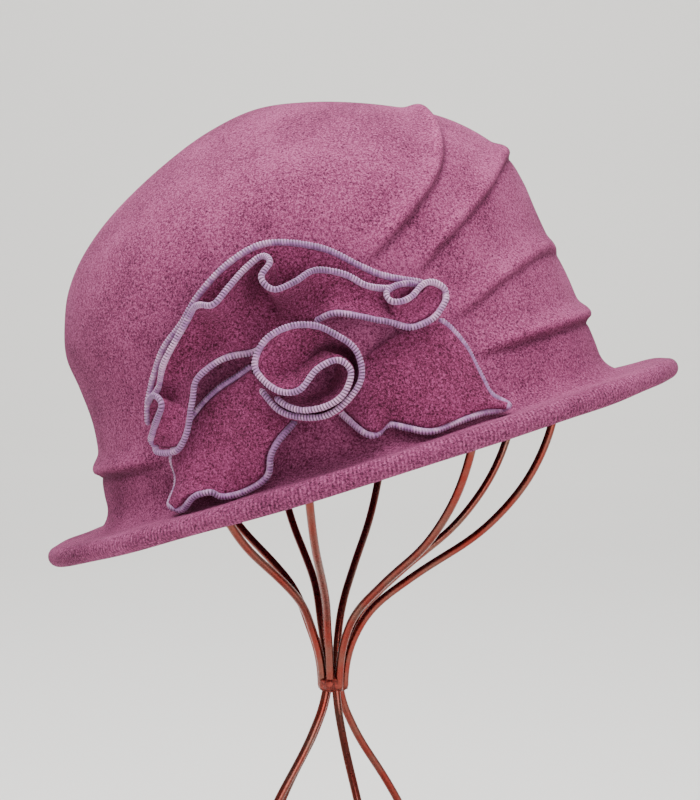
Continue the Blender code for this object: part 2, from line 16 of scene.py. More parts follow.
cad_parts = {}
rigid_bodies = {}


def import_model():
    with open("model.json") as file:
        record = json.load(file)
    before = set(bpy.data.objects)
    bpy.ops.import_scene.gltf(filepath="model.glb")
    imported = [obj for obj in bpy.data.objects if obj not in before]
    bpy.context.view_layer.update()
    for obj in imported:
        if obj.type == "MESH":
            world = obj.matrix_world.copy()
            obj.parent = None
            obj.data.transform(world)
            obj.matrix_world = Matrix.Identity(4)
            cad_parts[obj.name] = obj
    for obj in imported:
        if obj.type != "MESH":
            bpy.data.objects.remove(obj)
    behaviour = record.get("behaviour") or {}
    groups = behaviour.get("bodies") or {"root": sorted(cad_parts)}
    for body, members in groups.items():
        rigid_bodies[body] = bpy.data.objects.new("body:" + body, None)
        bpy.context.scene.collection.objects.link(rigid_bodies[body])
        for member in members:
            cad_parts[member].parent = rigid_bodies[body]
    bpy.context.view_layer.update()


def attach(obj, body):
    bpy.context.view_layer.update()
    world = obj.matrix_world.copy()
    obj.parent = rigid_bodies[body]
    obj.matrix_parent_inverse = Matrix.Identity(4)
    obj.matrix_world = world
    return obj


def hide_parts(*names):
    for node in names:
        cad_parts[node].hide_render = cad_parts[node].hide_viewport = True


bl_info = {
    "name": "Cloche hat on wire stand",
    "version": (1, 0, 0),
    "blender": (4, 5, 0),
    "location": "3D View > Sidebar > Cloche hat",
    "description": "Builds the wool, edged flower and wire of a cloche hat on its stand",
    "category": "Add Mesh",
}

for item in list(bpy.data.objects):
    bpy.data.objects.remove(item, do_unlink=True)
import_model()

# The hat's form. It is the part's, but for the brim's roll, 0.9 mm thicker, its level, 0.2 mm
# higher, and the crown's left side near the top, up to 2.7 mm further in.

CROWN_LENGTH = 0.2000
CROWN_WIDTH = 0.1720
CROWN_TOP = 0.1445
FELT = 0.0030
BRIM_PROJECTION = 0.0275
BRIM_THICKNESS = 0.0074
BRIM_LEVEL = 0.0012
FLARE_RADIUS = 0.0100
CROWN_SECTIONS = [
    # height, left, right
    (0.00, 1.005, 1.005),
    (0.12, 1.005, 1.000),
    (0.22, 0.982, 0.985),
    (0.32, 0.965, 0.972),
    (0.42, 0.972, 0.948),
    (0.51, 0.984, 0.932),
    (0.60, 0.950, 0.918),
    (0.68, 0.896, 0.884),
    (0.76, 0.798, 0.802),
    (0.84, 0.645, 0.662),
    (0.92, 0.424, 0.440),
    (0.975, 0.215, 0.215),
    (1.00, 0.000, 0.000),
]
LEAN = math.radians(17.2)
TIP = math.radians(2.2)
BRIM_ABOVE_WAIST = 0.0870
STAND_OFFSET = 0.0122

TUCK_WIDTH = 0.0078
TUCK_HEIGHT = 0.0032
TUCK_FADE = 0.0240
# The fold's section, finer than the part's: shares of the tuck's width (across, plus is the
# steep side) and height
TUCK_SECTION = [
    # across, rise
    (-1.05, 0.00),
    (-0.80, 0.03),
    (-0.60, 0.14),
    (-0.40, 0.42),
    (-0.20, 0.76),
    (0.00, 0.97),
    (0.14, 1.00),
    (0.28, 0.92),
    (0.38, 0.62),
    (0.46, 0.18),
    (0.54, -0.10),
    (0.66, -0.05),
    (0.85, 0.00),
]
TUCKS = {
    "top": (1.0, [(283, 0.495), (293, 0.560), (307, 0.660), (321, 0.775), (335, 0.845),
                  (355, 0.870)]),
    "upper": (0.9, [(292, 0.430), (303, 0.500), (323, 0.605), (340, 0.675), (362, 0.700)]),
    "middle": (0.7, [(296, 0.305), (314, 0.370), (334, 0.412), (348, 0.412), (358, 0.408)]),
    "low": (1.0, [(300, 0.213), (345, 0.216), (390, 0.214), (450, 0.208), (540, 0.203),
                  (588, 0.187)]),
}

FLOWER_AHEAD = -0.0074
FLOWER_HEIGHT = 0.0397
FLOWER_REACH = 0.0600
FLOWER_LIFT = 0.0200
FLOWER_FELT = 0.0020
PETAL_BELLY = 0.0010
EDGING = 0.0028
SEAT_GAP = 0.0003
# Rows along each petal: the outer edge's turn, reach and lift, then the inner edge's
BACK_PETAL = [
    (198, 1.02, 0.34, 193, 0.80, 0.20),
    (189, 0.97, 0.36, 184, 0.62, 0.14),
    (173, 0.88, 0.36, 170, 0.50, 0.09),
    (160, 0.80, 0.34, 156, 0.44, 0.067),
    (145, 0.78, 0.38, 143, 0.42, 0.067),
    (126, 0.78, 0.40, 126, 0.42, 0.067),
    (108, 0.78, 0.38, 108, 0.40, 0.067),
    (85, 0.72, 0.36, 86, 0.40, 0.080),
    (64, 0.68, 0.38, 68, 0.40, 0.13),
    (51, 0.71, 0.38, 54, 0.46, 0.18),
    (37, 0.85, 0.34, 44, 0.62, 0.24),
]
# The ruffle's first and last rows add the small folds at its ends, finer than the part's
RUFFLE = [
    (204, 1.03, 0.50, 207, 0.965, 0.50),
    (201.5, 0.985, 0.60, 208.3, 0.92, 0.52),
    (198.5, 0.94, 0.74, 209, 0.86, 0.55),
    (194.5, 0.895, 0.82, 206, 0.79, 0.59),
    (191.5, 0.895, 0.82, 202, 0.745, 0.61),
    (189.5, 0.93, 0.72, 199, 0.72, 0.62),
    (191.5, 0.975, 0.52, 197, 0.705, 0.62),
    (190, 0.95, 0.42, 195, 0.69, 0.62),
    (186, 0.89, 0.46, 193.5, 0.68, 0.62),
    (177, 0.85, 0.64, 191, 0.67, 0.62),
    (165, 0.79, 0.64, 182, 0.63, 0.62),
    (154, 0.76, 0.66, 172, 0.52, 0.56),
    (149, 0.74, 0.86, 165, 0.43, 0.48),
    (145, 0.67, 1.00, 158, 0.34, 0.36),
    (134, 0.67, 0.86, 146, 0.30, 0.20),
    (122, 0.70, 0.66, 134, 0.29, 0.075),
    (112, 0.72, 0.66, 124, 0.29, 0.062),
    (109, 0.67, 0.86, 117, 0.29, 0.062),
    (116, 0.61, 1.00, 112, 0.29, 0.062),
    (112, 0.52, 1.00, 106, 0.29, 0.080),
    (98, 0.53, 0.86, 96, 0.29, 0.24),
    (86, 0.59, 0.66, 84, 0.29, 0.44),
    (70, 0.60, 0.64, 67, 0.36, 0.64),
    (56, 0.60, 0.64, 50, 0.42, 0.60),
    (46.5, 0.655, 0.50, 38.5, 0.48, 0.58),
    (41, 0.74, 0.36, 36, 0.50, 0.58),
    (38, 0.80, 0.40, 34.5, 0.515, 0.58),
    (40.5, 0.78, 0.52, 33, 0.53, 0.58),
    (43.5, 0.71, 0.58, 31.3, 0.55, 0.58),
    (43.5, 0.655, 0.66, 30.3, 0.56, 0.58),
    (39, 0.645, 0.72, 29, 0.575, 0.58),
    (35.5, 0.69, 0.72, 27, 0.60, 0.58),
    (34.8, 0.755, 0.68, 25.3, 0.63, 0.58),
    (36, 0.83, 0.62, 24.7, 0.69, 0.57),
    (35.7, 0.875, 0.58, 25, 0.75, 0.56),
    (34, 0.905, 0.56, 26.5, 0.80, 0.56),
    (31.5, 0.925, 0.55, 28.5, 0.85, 0.56),
]
# The leaves' last rows, at their tips, also differ from the part's
RIGHT_PETAL = [
    (14, 0.35, 0.055, -47, 0.32, 0.130),
    (22, 0.52, 0.18, -43, 0.52, 0.38),
    (23, 0.68, 0.28, -31, 0.56, 0.26),
    (21, 0.82, 0.32, -27, 0.68, 0.34),
    (10, 0.92, 0.32, -24, 0.80, 0.44),
    (-1, 1.00, 0.30, -17, 0.92, 0.40),
    (-7.5, 1.08, 0.36, -12, 1.05, 0.42),
    (-9.2, 1.18, 0.48, -10.4, 1.165, 0.50),
]
LEFT_PETAL = [
    (178, 0.35, 0.26, 250, 0.31, 0.26),
    (187, 0.44, 0.28, 243, 0.45, 0.44),
    (193, 0.56, 0.26, 243, 0.56, 0.44),
    (200, 0.70, 0.24, 246, 0.67, 0.40),
    (207, 0.86, 0.26, 240, 0.80, 0.40),
    (212, 0.97, 0.30, 234, 0.89, 0.48),
    (218, 1.01, 0.32, 229, 0.93, 0.58),
    (221, 1.06, 0.38, 226, 1.01, 0.64),
    (223, 1.14, 0.50, 226, 1.12, 0.62),
]
ROSETTE = [
    (203, 0.30, 0.80, 215, 0.18, 0.09),
    (235, 0.29, 0.86, 240, 0.19, 0.035),
    (265, 0.28, 0.90, 265, 0.20, 0.028),
    (295, 0.29, 0.94, 293, 0.20, 0.028),
    (325, 0.30, 0.98, 325, 0.20, 0.028),
    (355, 0.33, 1.02, 355, 0.21, 0.028),
    (385, 0.32, 1.06, 385, 0.19, 0.035),
    (415, 0.28, 1.10, 418, 0.16, 0.50),
    (445, 0.27, 1.14, 460, 0.06, 0.76),
    (475, 0.28, 1.16, 510, 0.04, 0.74),
    (505, 0.30, 1.16, 538, 0.09, 0.76),
    (535, 0.30, 1.14, 546, 0.16, 0.82),
    (565, 0.22, 1.12, 545, 0.15, 0.82),
    (600, 0.13, 1.14, 530, 0.07, 0.76),
    (745, 0.08, 1.16, 460, 0.05, 0.76),
    (745, 0.205, 1.14, 410, 0.14, 0.80),
    (722, 0.266, 1.10, 735, 0.18, 0.60),
    (690, 0.260, 1.09, 690, 0.15, 0.40),
    (660, 0.24, 1.06, 655, 0.14, 0.40),
    (625, 0.235, 1.02, 620, 0.14, 0.40),
    (600, 0.24, 0.98, 598, 0.145, 0.38),
    (583, 0.245, 0.94, 583, 0.15, 0.36),
]
RUFFLE_TAIL = 14
RUFFLE_HEAD = 15
RUFFLE_SAG_SHARE = 0.24
# The petal row at which each leaf's edging starts along its outer edge, and the row at which it
# ends, back along its inner edge
RIGHT_PETAL_START = 3
RIGHT_PETAL_FINISH = 0
LEFT_PETAL_START = 0
LEFT_PETAL_FINISH = 0

# The stand's form. It is the part's, but for the ribs' turns, fan and lower rows.

WIRE = 0.0032
WAIST_HEIGHT = 0.1500
COLLAR_LENGTH = 0.0070
RIB_PITCH_RADIUS = 0.0047
CAGE_RADIUS = 0.0880
CAGE_DEPTH = 0.0765
CAGE_WIDEST = 0.1150
TOP_DISC_DIAMETER = 0.0180
TOP_DISC_THICKNESS = 0.0040
BASE_RADIUS = 0.0950
LEG_PITCH_RADIUS = 0.0027
RIB_AZIMUTHS = [0, 31, 75, 108, 134, 236, 264, 307]
FIRST_RIB_AT_WAIST = -13
RIB_FAN = 0.0180
LEG_AZIMUTHS = [38, 128, 218, 292]
RIB_ROWS = [
    (0.060, 0.090),
    (0.150, 0.240),
    (0.275, 0.320),
    (0.432, 0.405),
    (0.660, 0.518),
    (0.864, 0.690),
    (0.975, 0.876),
    (1.000, 1.000),
]
LEG_ROWS = [
    (0.047, 0.949),
    (0.130, 0.847),
    (0.310, 0.690),
    (0.560, 0.430),
    (0.800, 0.190),
]

# The weld's bead faces a little to the left of the camera's side
WELD_BEAD_TURN = math.radians(252)
WELD_SIDES = 160

# How finely the surfaces are worked out

CURVE_STEPS = 40
AROUND = 376
CROWN_RINGS = 190
FLARE_RINGS = 10
ROLL_RINGS = 18
INNER_RINGS = 24
TUCKS_AT = math.radians(322)
TUCKS_SPREAD = math.radians(42)
TUCKS_CLOSER = 1.7
PETAL_STATIONS = 12
PETAL_ACROSS = 18
EDGING_SIDES = 16
STEPS_A_STITCH = 8
WIRE_SIDES = 20
BEND_STEP = 0.0008
RIB_BEND = 0.0200
BRIM_FLAT_RINGS = 6
LINE_STEP = 0.0008
EDGING_STEP = 0.0004
WIRE_STEP = 0.0016
POINTS_AT_ONCE = 8192
# How much of the edging's thickness the felt's own edge stays inside
FELT_IN_EDGING = 0.22
# Where the tuck's crest and valley lie and how wide they are, in tuck widths, and how strong the
# painted highlight on the crest is; the valley gets painted shade
CREST, CREST_WIDTH, CREST_HIGHLIGHT = 0.06, 0.22, 0.55
VALLEY, VALLEY_WIDTH = 0.52, 0.17

# The view and the light

CAMERA_TARGET = (-0.0055, 0.0, 0.2617)
CAMERA_DISTANCE = 0.750
CAMERA_DOWN = math.radians(3.0)
CAMERA_LENS = 98.4
SENSOR_WIDTH = 36.0
SKY_STRENGTH = 0.56
FLOOR_RADIUS = 3.2
WALL_CURVE = 1.6
WALL_TOP = 3.4


def linear_colour(hex_colour):
    """An sRGB hex value as linear red, green, blue and alpha."""
    channels = [int(hex_colour[start : start + 2], 16) / 255 for start in (1, 3, 5)]
    linear = [c / 12.92 if c <= 0.04045 else ((c + 0.055) / 1.055) ** 2.4 for c in channels]
    return (*linear, 1.0)


def colour_property(name, description, hex_colour):
    return bpy.props.FloatVectorProperty(
        name=name, description=description, subtype="COLOR", size=4, min=0.0, max=1.0,
        default=linear_colour(hex_colour),
    )


class HatSettings(bpy.types.PropertyGroup):
    """Sizes and colours of the wool and its edging."""

    wool_light: colour_property("Wool, light", "Fibre tips that catch the light", "#b9628f")
    wool_middle: colour_property("Wool", "The wool's own mauve", "#8f4068")
    wool_dark: colour_property("Wool, dark", "Hollows between the fibres", "#4e1c36")
    # The strips' colours are the wool's, darker and redder: partly the strips' own redder felt,
    # partly painted shade of the flower's folds
    shaded_strip_light: colour_property("Strips, light", "The strips' lit fibre tips", "#a04b78")
    shaded_strip_middle: colour_property("Strips", "The strips' deeper mauve", "#742d4f")
    shaded_strip_dark: colour_property("Strips, dark", "The strips' hollows", "#3a1224")
    grain: bpy.props.FloatProperty(
        name="Grain", description="Width of a tuft of felted fibres",
        default=0.0010, min=0.0002, max=0.005, unit="LENGTH")
    thread_light: colour_property("Thread, light", "The edging's palest stretches", "#d6a4cc")
    thread_middle: colour_property("Thread", "The edging's lilac", "#a067a2")
    thread_dark: colour_property("Thread, dark", "The edging's purple stretches", "#6b3f70")
    # Between the stitches the wool shows, painted darker than the wool as shade in the gaps
    gap_wool_and_shade: colour_property("Between stitches", "Wool seen between the stitches", "#270b1e")
    edging: bpy.props.FloatProperty(
        name="Edging", description="Thickness of the overlocked edge",
        default=0.00245, min=0.001, max=0.006, unit="LENGTH")
    stitch: bpy.props.FloatProperty(
        name="Stitch", description="From one stitch of the edging to the next",
        default=0.00105, min=0.0005, max=0.004, unit="LENGTH")
    tuck: bpy.props.FloatProperty(
        name="Tuck", description="How far a sewn tuck stands off the crown",
        default=TUCK_HEIGHT, min=0.0, max=0.006, unit="LENGTH")


class StandSettings(bpy.types.PropertyGroup):
    """Size and colours of the stand's wire."""

    copper: colour_property("Copper", "The wire's worn brown copper", "#6f4a3f")
    copper_red: colour_property("Red copper", "The redder stretches of the wire", "#7f281e")
    weld: colour_property("Weld", "The red bead of the weld", "#96392f")
    wire: bpy.props.FloatProperty(
        name="Wire", description="Thickness of the stand's wires",
        default=WIRE, min=0.001, max=0.006, unit="LENGTH")


class StageSettings(bpy.types.PropertyGroup):
    """The floor's colour and the light."""

    floor: colour_property("Floor", "The plain pale floor", "#e6e4e0")
    overhead: bpy.props.FloatProperty(
        name="Overhead", description="Power of the soft light overhead, in watts",
        default=54.0, min=0.0)
    front: bpy.props.FloatProperty(
        name="Front", description="Power of the soft light beside the camera, in watts",
        default=21.0, min=0.0)
    backdrop: bpy.props.FloatProperty(
        name="Backdrop", description="Power of the light on the pale wall behind, in watts",
        default=110.0, min=0.0)


# Curves and surfaces


def smooth_rows(rows, per_row):
    """Catmull-Rom curve through the rows.

    Between rows b and c, with a before and d after, the place at t is half of
    2b + (c - a)t + (2a - 5b + 4c - d)t^2 + (3b - a - 3c + d)t^3.
    """
    rows = np.asarray(rows, float)
    padded = np.vstack([2 * rows[0] - rows[1], rows, 2 * rows[-1] - rows[-2]])
    a, b, c, d = (padded[k : k + len(rows) - 1][:, None] for k in range(4))
    t = (np.arange(per_row) / per_row)[None, :, None]
    points = 0.5 * (2 * b + (c - a) * t + (2 * a - 5 * b + 4 * c - d) * t**2
                    + (3 * b - a - 3 * c + d) * t**3)
    return np.vstack([points.reshape(-1, rows.shape[1]), rows[-1:]])


def evenly(values, points, count):
    """Values read at count + 1 even distances along the curve that the points make."""
    lengths = np.linalg.norm(np.diff(points, axis=0), axis=1)
    along = np.concatenate([[0.0], np.cumsum(lengths)])
    wanted = np.linspace(0.0, along[-1], count + 1)
    return np.column_stack([np.interp(wanted, along, column) for column in np.transpose(values)])


def length_of(points):
    return np.linalg.norm(np.diff(points, axis=0), axis=1).sum()


def moving_mean(points, count):
    """The mean of each run of count points."""
    window = np.ones(count) / count
    return np.column_stack([np.convolve(column, window, "valid") for column in points.T])


def eased(share):
    """A share from 0 to 1 that leaves 0 and reaches 1 gently: 3s^2 - 2s^3."""
    share = np.clip(share, 0.0, 1.0)
    return share * share * (3 - 2 * share)


def softened(path, span):
    """The path as a line bent by hand: a moving mean over the span, its two ends kept."""
    points = evenly(path, path, round(length_of(path) / BEND_STEP))
    half = round(span / BEND_STEP / 2)
    before = 2 * points[:1] - points[half:0:-1]
    after = 2 * points[-1:] - points[-2 : -half - 2 : -1]
    return moving_mean(np.vstack([before, points, after]), 2 * half + 1)


def unit(vectors):
    return vectors / np.maximum(np.linalg.norm(vectors, axis=-1, keepdims=True), 1e-12)


def square_to(vectors, along):
    """The unit vectors nearest to these that are at right angles to along."""
    return unit(vectors - along * np.sum(vectors * along, axis=-1, keepdims=True))


def crown_curve():
    """The crown's meridian, foot to top, mirrored past the axis so that it ends round."""
    height, left, right = CROWN_SECTIONS[-2]
    rows = smooth_rows(CROWN_SECTIONS + [(height, -left, -right)], CURVE_STEPS)
    return rows[:-CURVE_STEPS]


CROWN_CURVE = crown_curve()


def crown_section(height, swell=0.0):
    """The crown's ellipse at a height: its middle, half length and half width.

    A swelled crown is the same form with every side and the top moved out by the swell.
    """
    share = height / (CROWN_TOP + swell)
    left = np.interp(share, CROWN_CURVE[:, 0], CROWN_CURVE[:, 1])
    right = np.interp(share, CROWN_CURVE[:, 0], CROWN_CURVE[:, 2])
    half_length = CROWN_LENGTH / 2 + swell
    mean = (left + right) / 2
    return half_length * (right - left) / 2, half_length * mean, (CROWN_WIDTH / 2 + swell) * mean


def crown_point(azimuth, height, swell=0.0):
    """Places on the crown, by azimuth in degrees and height."""
    middle, half_length, half_width = crown_section(height, swell)
    angle = np.radians(azimuth)
    return np.stack([middle + half_length * np.cos(angle), half_width * np.sin(angle),
                     height + 0 * angle], axis=-1)


def flower_point(places):
    """Places on the flower (across, up, lift), each on the crown swelled by its lift."""
    across, up, lift = np.moveaxis(places, -1, 0)
    ahead = FLOWER_AHEAD + across
    height = FLOWER_HEIGHT + up
    middle, half_length, half_width = crown_section(height, lift)
    share = np.minimum(np.abs(ahead - middle) / half_length, 0.98)
    return np.stack([ahead, -half_width * np.sqrt(1 - share**2), height], axis=-1)


def flower_rows(rows, rim):
    """Rows of turn and shares as lengths across, up and off the flower, less the rim."""
    turn, reach, lift = np.transpose(np.asarray(rows, float))
    angle = np.radians(turn) - LEAN
    length = reach * FLOWER_REACH - rim
    return np.column_stack([length * np.cos(angle), length * np.sin(angle), lift * FLOWER_LIFT])


def hat_matrix():
    """From the hat's frame to the world: tipped back, leant over and set over the stand."""
    place = Matrix.Translation((0.0, 0.0, WAIST_HEIGHT + BRIM_ABOVE_WAIST))
    return place @ Matrix.Rotation(-LEAN, 4, "Y") @ Matrix.Rotation(-TIP, 4, "X")


def to_world(points):
    """Points of the hat's frame in the world's."""
    matrix = np.array(hat_matrix())
    return points @ matrix[:3, :3].T + matrix[:3, 3]


def grid_normals(grid, wrap):
    """Unit normals of a grid of points: the cross product of its two central differences."""
    down = np.gradient(grid, axis=0)
    if wrap:
        across = np.roll(grid, -1, axis=1) - np.roll(grid, 1, axis=1)
    else:
        across = np.gradient(grid, axis=1)
    return unit(np.cross(across, down))


def ripple(points, size, seed):
    """A smooth unevenness from -1 to 1: six sine waves of about that size, in set directions."""
    random = np.random.default_rng(seed)
    total = np.zeros(points.shape[:-1])
    for _ in range(6):
        direction = unit(random.normal(size=3))
        wave = 2 * math.pi / (size * random.uniform(0.7, 1.5))
        total += np.sin(points @ direction * wave + random.uniform(0.0, 2 * math.pi))
    return total / 3.0


def closed_mesh(name, grid, poles, attributes, material, around=None):
    """A closed surface from a grid whose columns wrap round, with a fan at each end.

    Rows run from one pole to the other. The UV map has u once round the columns, evenly or
    at the shares that around gives, and v along the rows. Faces are turned over where the
    enclosed volume comes out negative.
    """
    rows, columns = grid.shape[:2]
    if around is None:
        around = np.arange(columns + 1) / columns
    vertices = np.vstack([grid.reshape(-1, 3), poles])
    i = np.arange(rows - 1)[:, None]
    j = np.arange(columns)[None, :]
    after = (j + 1) % columns
    quads = np.stack([i * columns + j, i * columns + after, (i + 1) * columns + after,
                      (i + 1) * columns + j], axis=-1).reshape(-1, 4)
    u = np.broadcast_to(around[np.stack([j, j + 1, j + 1, j], axis=-1)],
                        (rows - 1, columns, 4)).reshape(-1)
    v = np.broadcast_to(np.stack([i, i, i + 1, i + 1], axis=-1) / (rows - 1),
                        (rows - 1, columns, 4)).reshape(-1)
    ring = np.arange(columns)
    following = (ring + 1) % columns
    first = rows * columns
    top = np.stack([np.full(columns, first), following, ring], axis=-1)
    end = (rows - 1) * columns
    bottom = np.stack([np.full(columns, first + 1), end + ring, end + following], axis=-1)
    fans = np.vstack([top, bottom])
    fan_u = np.concatenate([around[np.stack([ring, ring + 1, ring], -1).ravel()],
                            around[np.stack([ring, ring, ring + 1], -1).ravel()]])
    fan_v = np.concatenate([np.zeros(3 * columns), np.ones(3 * columns)])
    a, b, c, d = (vertices[quads[:, k]] for k in range(4))
    volume = np.sum(a * np.cross(b, c)) + np.sum(a * np.cross(c, d))
    p, q, r = (vertices[fans[:, k]] for k in range(3))
    volume += np.sum(p * np.cross(q, r))
    corners = np.concatenate([quads.ravel(), fans.ravel()])
    uv = np.column_stack([np.concatenate([u, fan_u]), np.concatenate([v, fan_v])])
    totals = np.concatenate([np.full(len(quads), 4), np.full(len(fans), 3)])
    starts = np.concatenate([[0], np.cumsum(totals)[:-1]])
    if volume < 0:
        order = np.concatenate([
            (np.arange(len(quads))[:, None] * 4 + np.array([3, 2, 1, 0])).ravel(),
            (len(quads) * 4 + np.arange(len(fans))[:, None] * 3 + np.array([2, 1, 0])).ravel(),
        ])
        corners = corners[order]
        uv = uv[order]
    mesh = bpy.data.meshes.new(name)
    mesh.vertices.add(len(vertices))
    mesh.vertices.foreach_set("co", vertices.ravel().astype(np.float32))
    mesh.loops.add(len(corners))
    mesh.loops.foreach_set("vertex_index", corners.astype(np.int32))
    mesh.polygons.add(len(totals))
    mesh.polygons.foreach_set("loop_start", starts.astype(np.int32))
    mesh.update(calc_edges=True)
    layer = mesh.uv_layers.new(name="surface")
    layer.data.foreach_set("uv", uv.ravel().astype(np.float32))
    for label, values in attributes.items():
        padded = np.concatenate([values.ravel(), values[0, :1], values[-1, :1]])
        mesh.attributes.new(label, "FLOAT", "POINT").data.foreach_set(
            "value", padded.astype(np.float32))
    mesh.materials.append(material)
    mesh.shade_smooth()
    piece = bpy.data.objects.new(name, mesh)
    bpy.context.scene.collection.objects.link(piece)
    return piece


def hand_over(piece, slot, *nodes):
    """Puts the piece on the object's one body in place of these nodes. The slot is not used."""
    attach(piece, "root")
    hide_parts(*nodes)


# Materials

# Patterns per metre: drifts of tone in the wool about 22 mm wide, the thread's strands 0.25 mm,
# patches of darkened plating 17 mm, the wire's streaks 1.1 mm, the weld's pits 1.4 mm (drawn
# coarser than real so that they show) and the board's mottle 330 mm
WOOL_CLOUDS = 45.0
THREAD_STRANDS = 4000.0
PLATING_PATCHES = 60.0
WIRE_STREAKS = 900.0
WELD_PITS = 700.0
BOARD_MOTTLE = 3.0
# Ribs of the knit round the brim, 1.35 mm apart, and how far each slants over the roll
BRIM_RIBS = 540
RIB_SLANT = 7.0


def new_material(name):
    material = bpy.data.materials.new(name)
    material.use_nodes = True
    return material, material.node_tree, material.node_tree.nodes["Principled BSDF"]


def add_node(tree, kind, inputs=(), **settings):
    """Adds a node with its settings, and sets each socket named or links it to an output."""
    node = tree.nodes.new(kind)
    for name, value in settings.items():
        setattr(node, name, value)
    set_sockets(tree, node, inputs)
    return node


def set_sockets(tree, node, inputs):
    """Sets each socket named to a value, or links it to an output."""
    for name, value in dict(inputs).items():
        if isinstance(value, bpy.types.NodeSocket):
            tree.links.new(value, node.inputs[name])
        else:
            node.inputs[name].default_value = value


def boiled_wool(name, settings, light, middle, dark, ribbed):
    """Boiled (fulled) wool knit: short matted fibres in tufts of about a millimetre.

    The eye gets a mottled grain of lit fibre tips and dark hollows, a soft bright edge where
    the fuzz catches the light, and no gloss. On the brim's roll the knit's ribs still show,
    their grooves painted darker as shade. On the tucks the crests are painted lighter as a
    highlight and the valleys beside them painted darker as shade.
    """
    material, tree, shader = new_material(name)
    where = add_node(tree, "ShaderNodeTexCoord").outputs["Object"]
    grain = add_node(tree, "ShaderNodeTexNoise", {
        "Vector": where, "Scale": 1.45 / settings.grain, "Detail": 3.0, "Roughness": 0.66,
        "Distortion": 0.6}).outputs["Fac"]
    fibre = add_node(tree, "ShaderNodeTexNoise", {
        "Vector": where, "Scale": 3.4 / settings.grain, "Detail": 2.0, "Roughness": 0.7,
        "Distortion": 1.6}).outputs["Fac"]
    cloud = add_node(tree, "ShaderNodeTexNoise", {
        "Vector": where, "Scale": WOOL_CLOUDS, "Detail": 3.0, "Roughness": 0.55}).outputs["Fac"]
    mixed = add_node(tree, "ShaderNodeMath", {0: grain, 1: 0.62}, operation="MULTIPLY")
    mixed = add_node(tree, "ShaderNodeMath", {0: fibre, 1: 0.30, 2: mixed.outputs[0]},
                     operation="MULTIPLY_ADD")
    mixed = add_node(tree, "ShaderNodeMath", {0: cloud, 1: 0.14, 2: mixed.outputs[0]},
                     operation="MULTIPLY_ADD")
    ramp = add_node(tree, "ShaderNodeValToRGB", {"Fac": mixed.outputs[0]})
    ramp.color_ramp.interpolation = "EASE"
    ramp.color_ramp.elements[0].position = 0.44
    ramp.color_ramp.elements[0].color = dark
    ramp.color_ramp.elements[1].position = 0.62
    ramp.color_ramp.elements[1].color = light
    ramp.color_ramp.elements.new(0.53).color = middle
    colour = ramp.outputs["Color"]
    height = mixed.outputs[0]
    if ribbed:
        roll = add_node(tree, "ShaderNodeAttribute", attribute_name="roll").outputs["Fac"]
        shows = add_node(tree, "ShaderNodeAttribute", attribute_name="ribbed").outputs["Fac"]
        around = add_node(tree, "ShaderNodeSeparateXYZ", {
            "Vector": add_node(tree, "ShaderNodeUVMap", uv_map="surface").outputs["UV"]})
        slant = add_node(tree, "ShaderNodeMath", {0: roll, 1: RIB_SLANT}, operation="MULTIPLY")
        phase = add_node(tree, "ShaderNodeMath", {
            0: around.outputs["X"], 1: 2 * math.pi * BRIM_RIBS, 2: slant.outputs[0]},
            operation="MULTIPLY_ADD")
        wave = add_node(tree, "ShaderNodeMath", {0: phase.outputs[0]}, operation="SINE")
        rib = add_node(tree, "ShaderNodeMath", {0: wave.outputs[0], 1: shows},
                       operation="MULTIPLY").outputs[0]
        height = add_node(tree, "ShaderNodeMath", {0: rib, 1: 0.42, 2: height},
                          operation="MULTIPLY_ADD").outputs[0]
        shade = add_node(tree, "ShaderNodeMath", {0: rib, 1: 0.17, 2: 0.84},
                         operation="MULTIPLY_ADD").outputs[0]
        colour = add_node(tree, "ShaderNodeMixRGB", {
            "Fac": 1.0, "Color1": colour, "Color2": shade}, blend_type="MULTIPLY").outputs[0]
        # Painted light and shade of the tucks: the colour is made lighter on their crests as a
        # highlight and darker in their valleys as shade
        painted_tuck_shading = add_node(tree, "ShaderNodeAttribute", attribute_name="painted_tuck_shading").outputs["Fac"]
        tuck_shade_factor = add_node(tree, "ShaderNodeMath", {0: painted_tuck_shading, 1: 0.42, 2: 1.0},
                        operation="MULTIPLY_ADD").outputs[0]
        colour = add_node(tree, "ShaderNodeVectorMath", {0: colour, 1: tuck_shade_factor},
                          operation="MULTIPLY").outputs[0]
    bump = add_node(tree, "ShaderNodeBump", {
        "Height": height, "Strength": 0.8, "Distance": settings.grain * 0.9})
    set_sockets(tree, shader, {
        "Base Color": colour, "Normal": bump.outputs["Normal"], "Roughness": 0.95,
        "Specular IOR Level": 0.15, "Sheen Weight": 0.07, "Sheen Roughness": 0.45,
        "Sheen Tint": linear_colour("#e08fb8")})
    return material


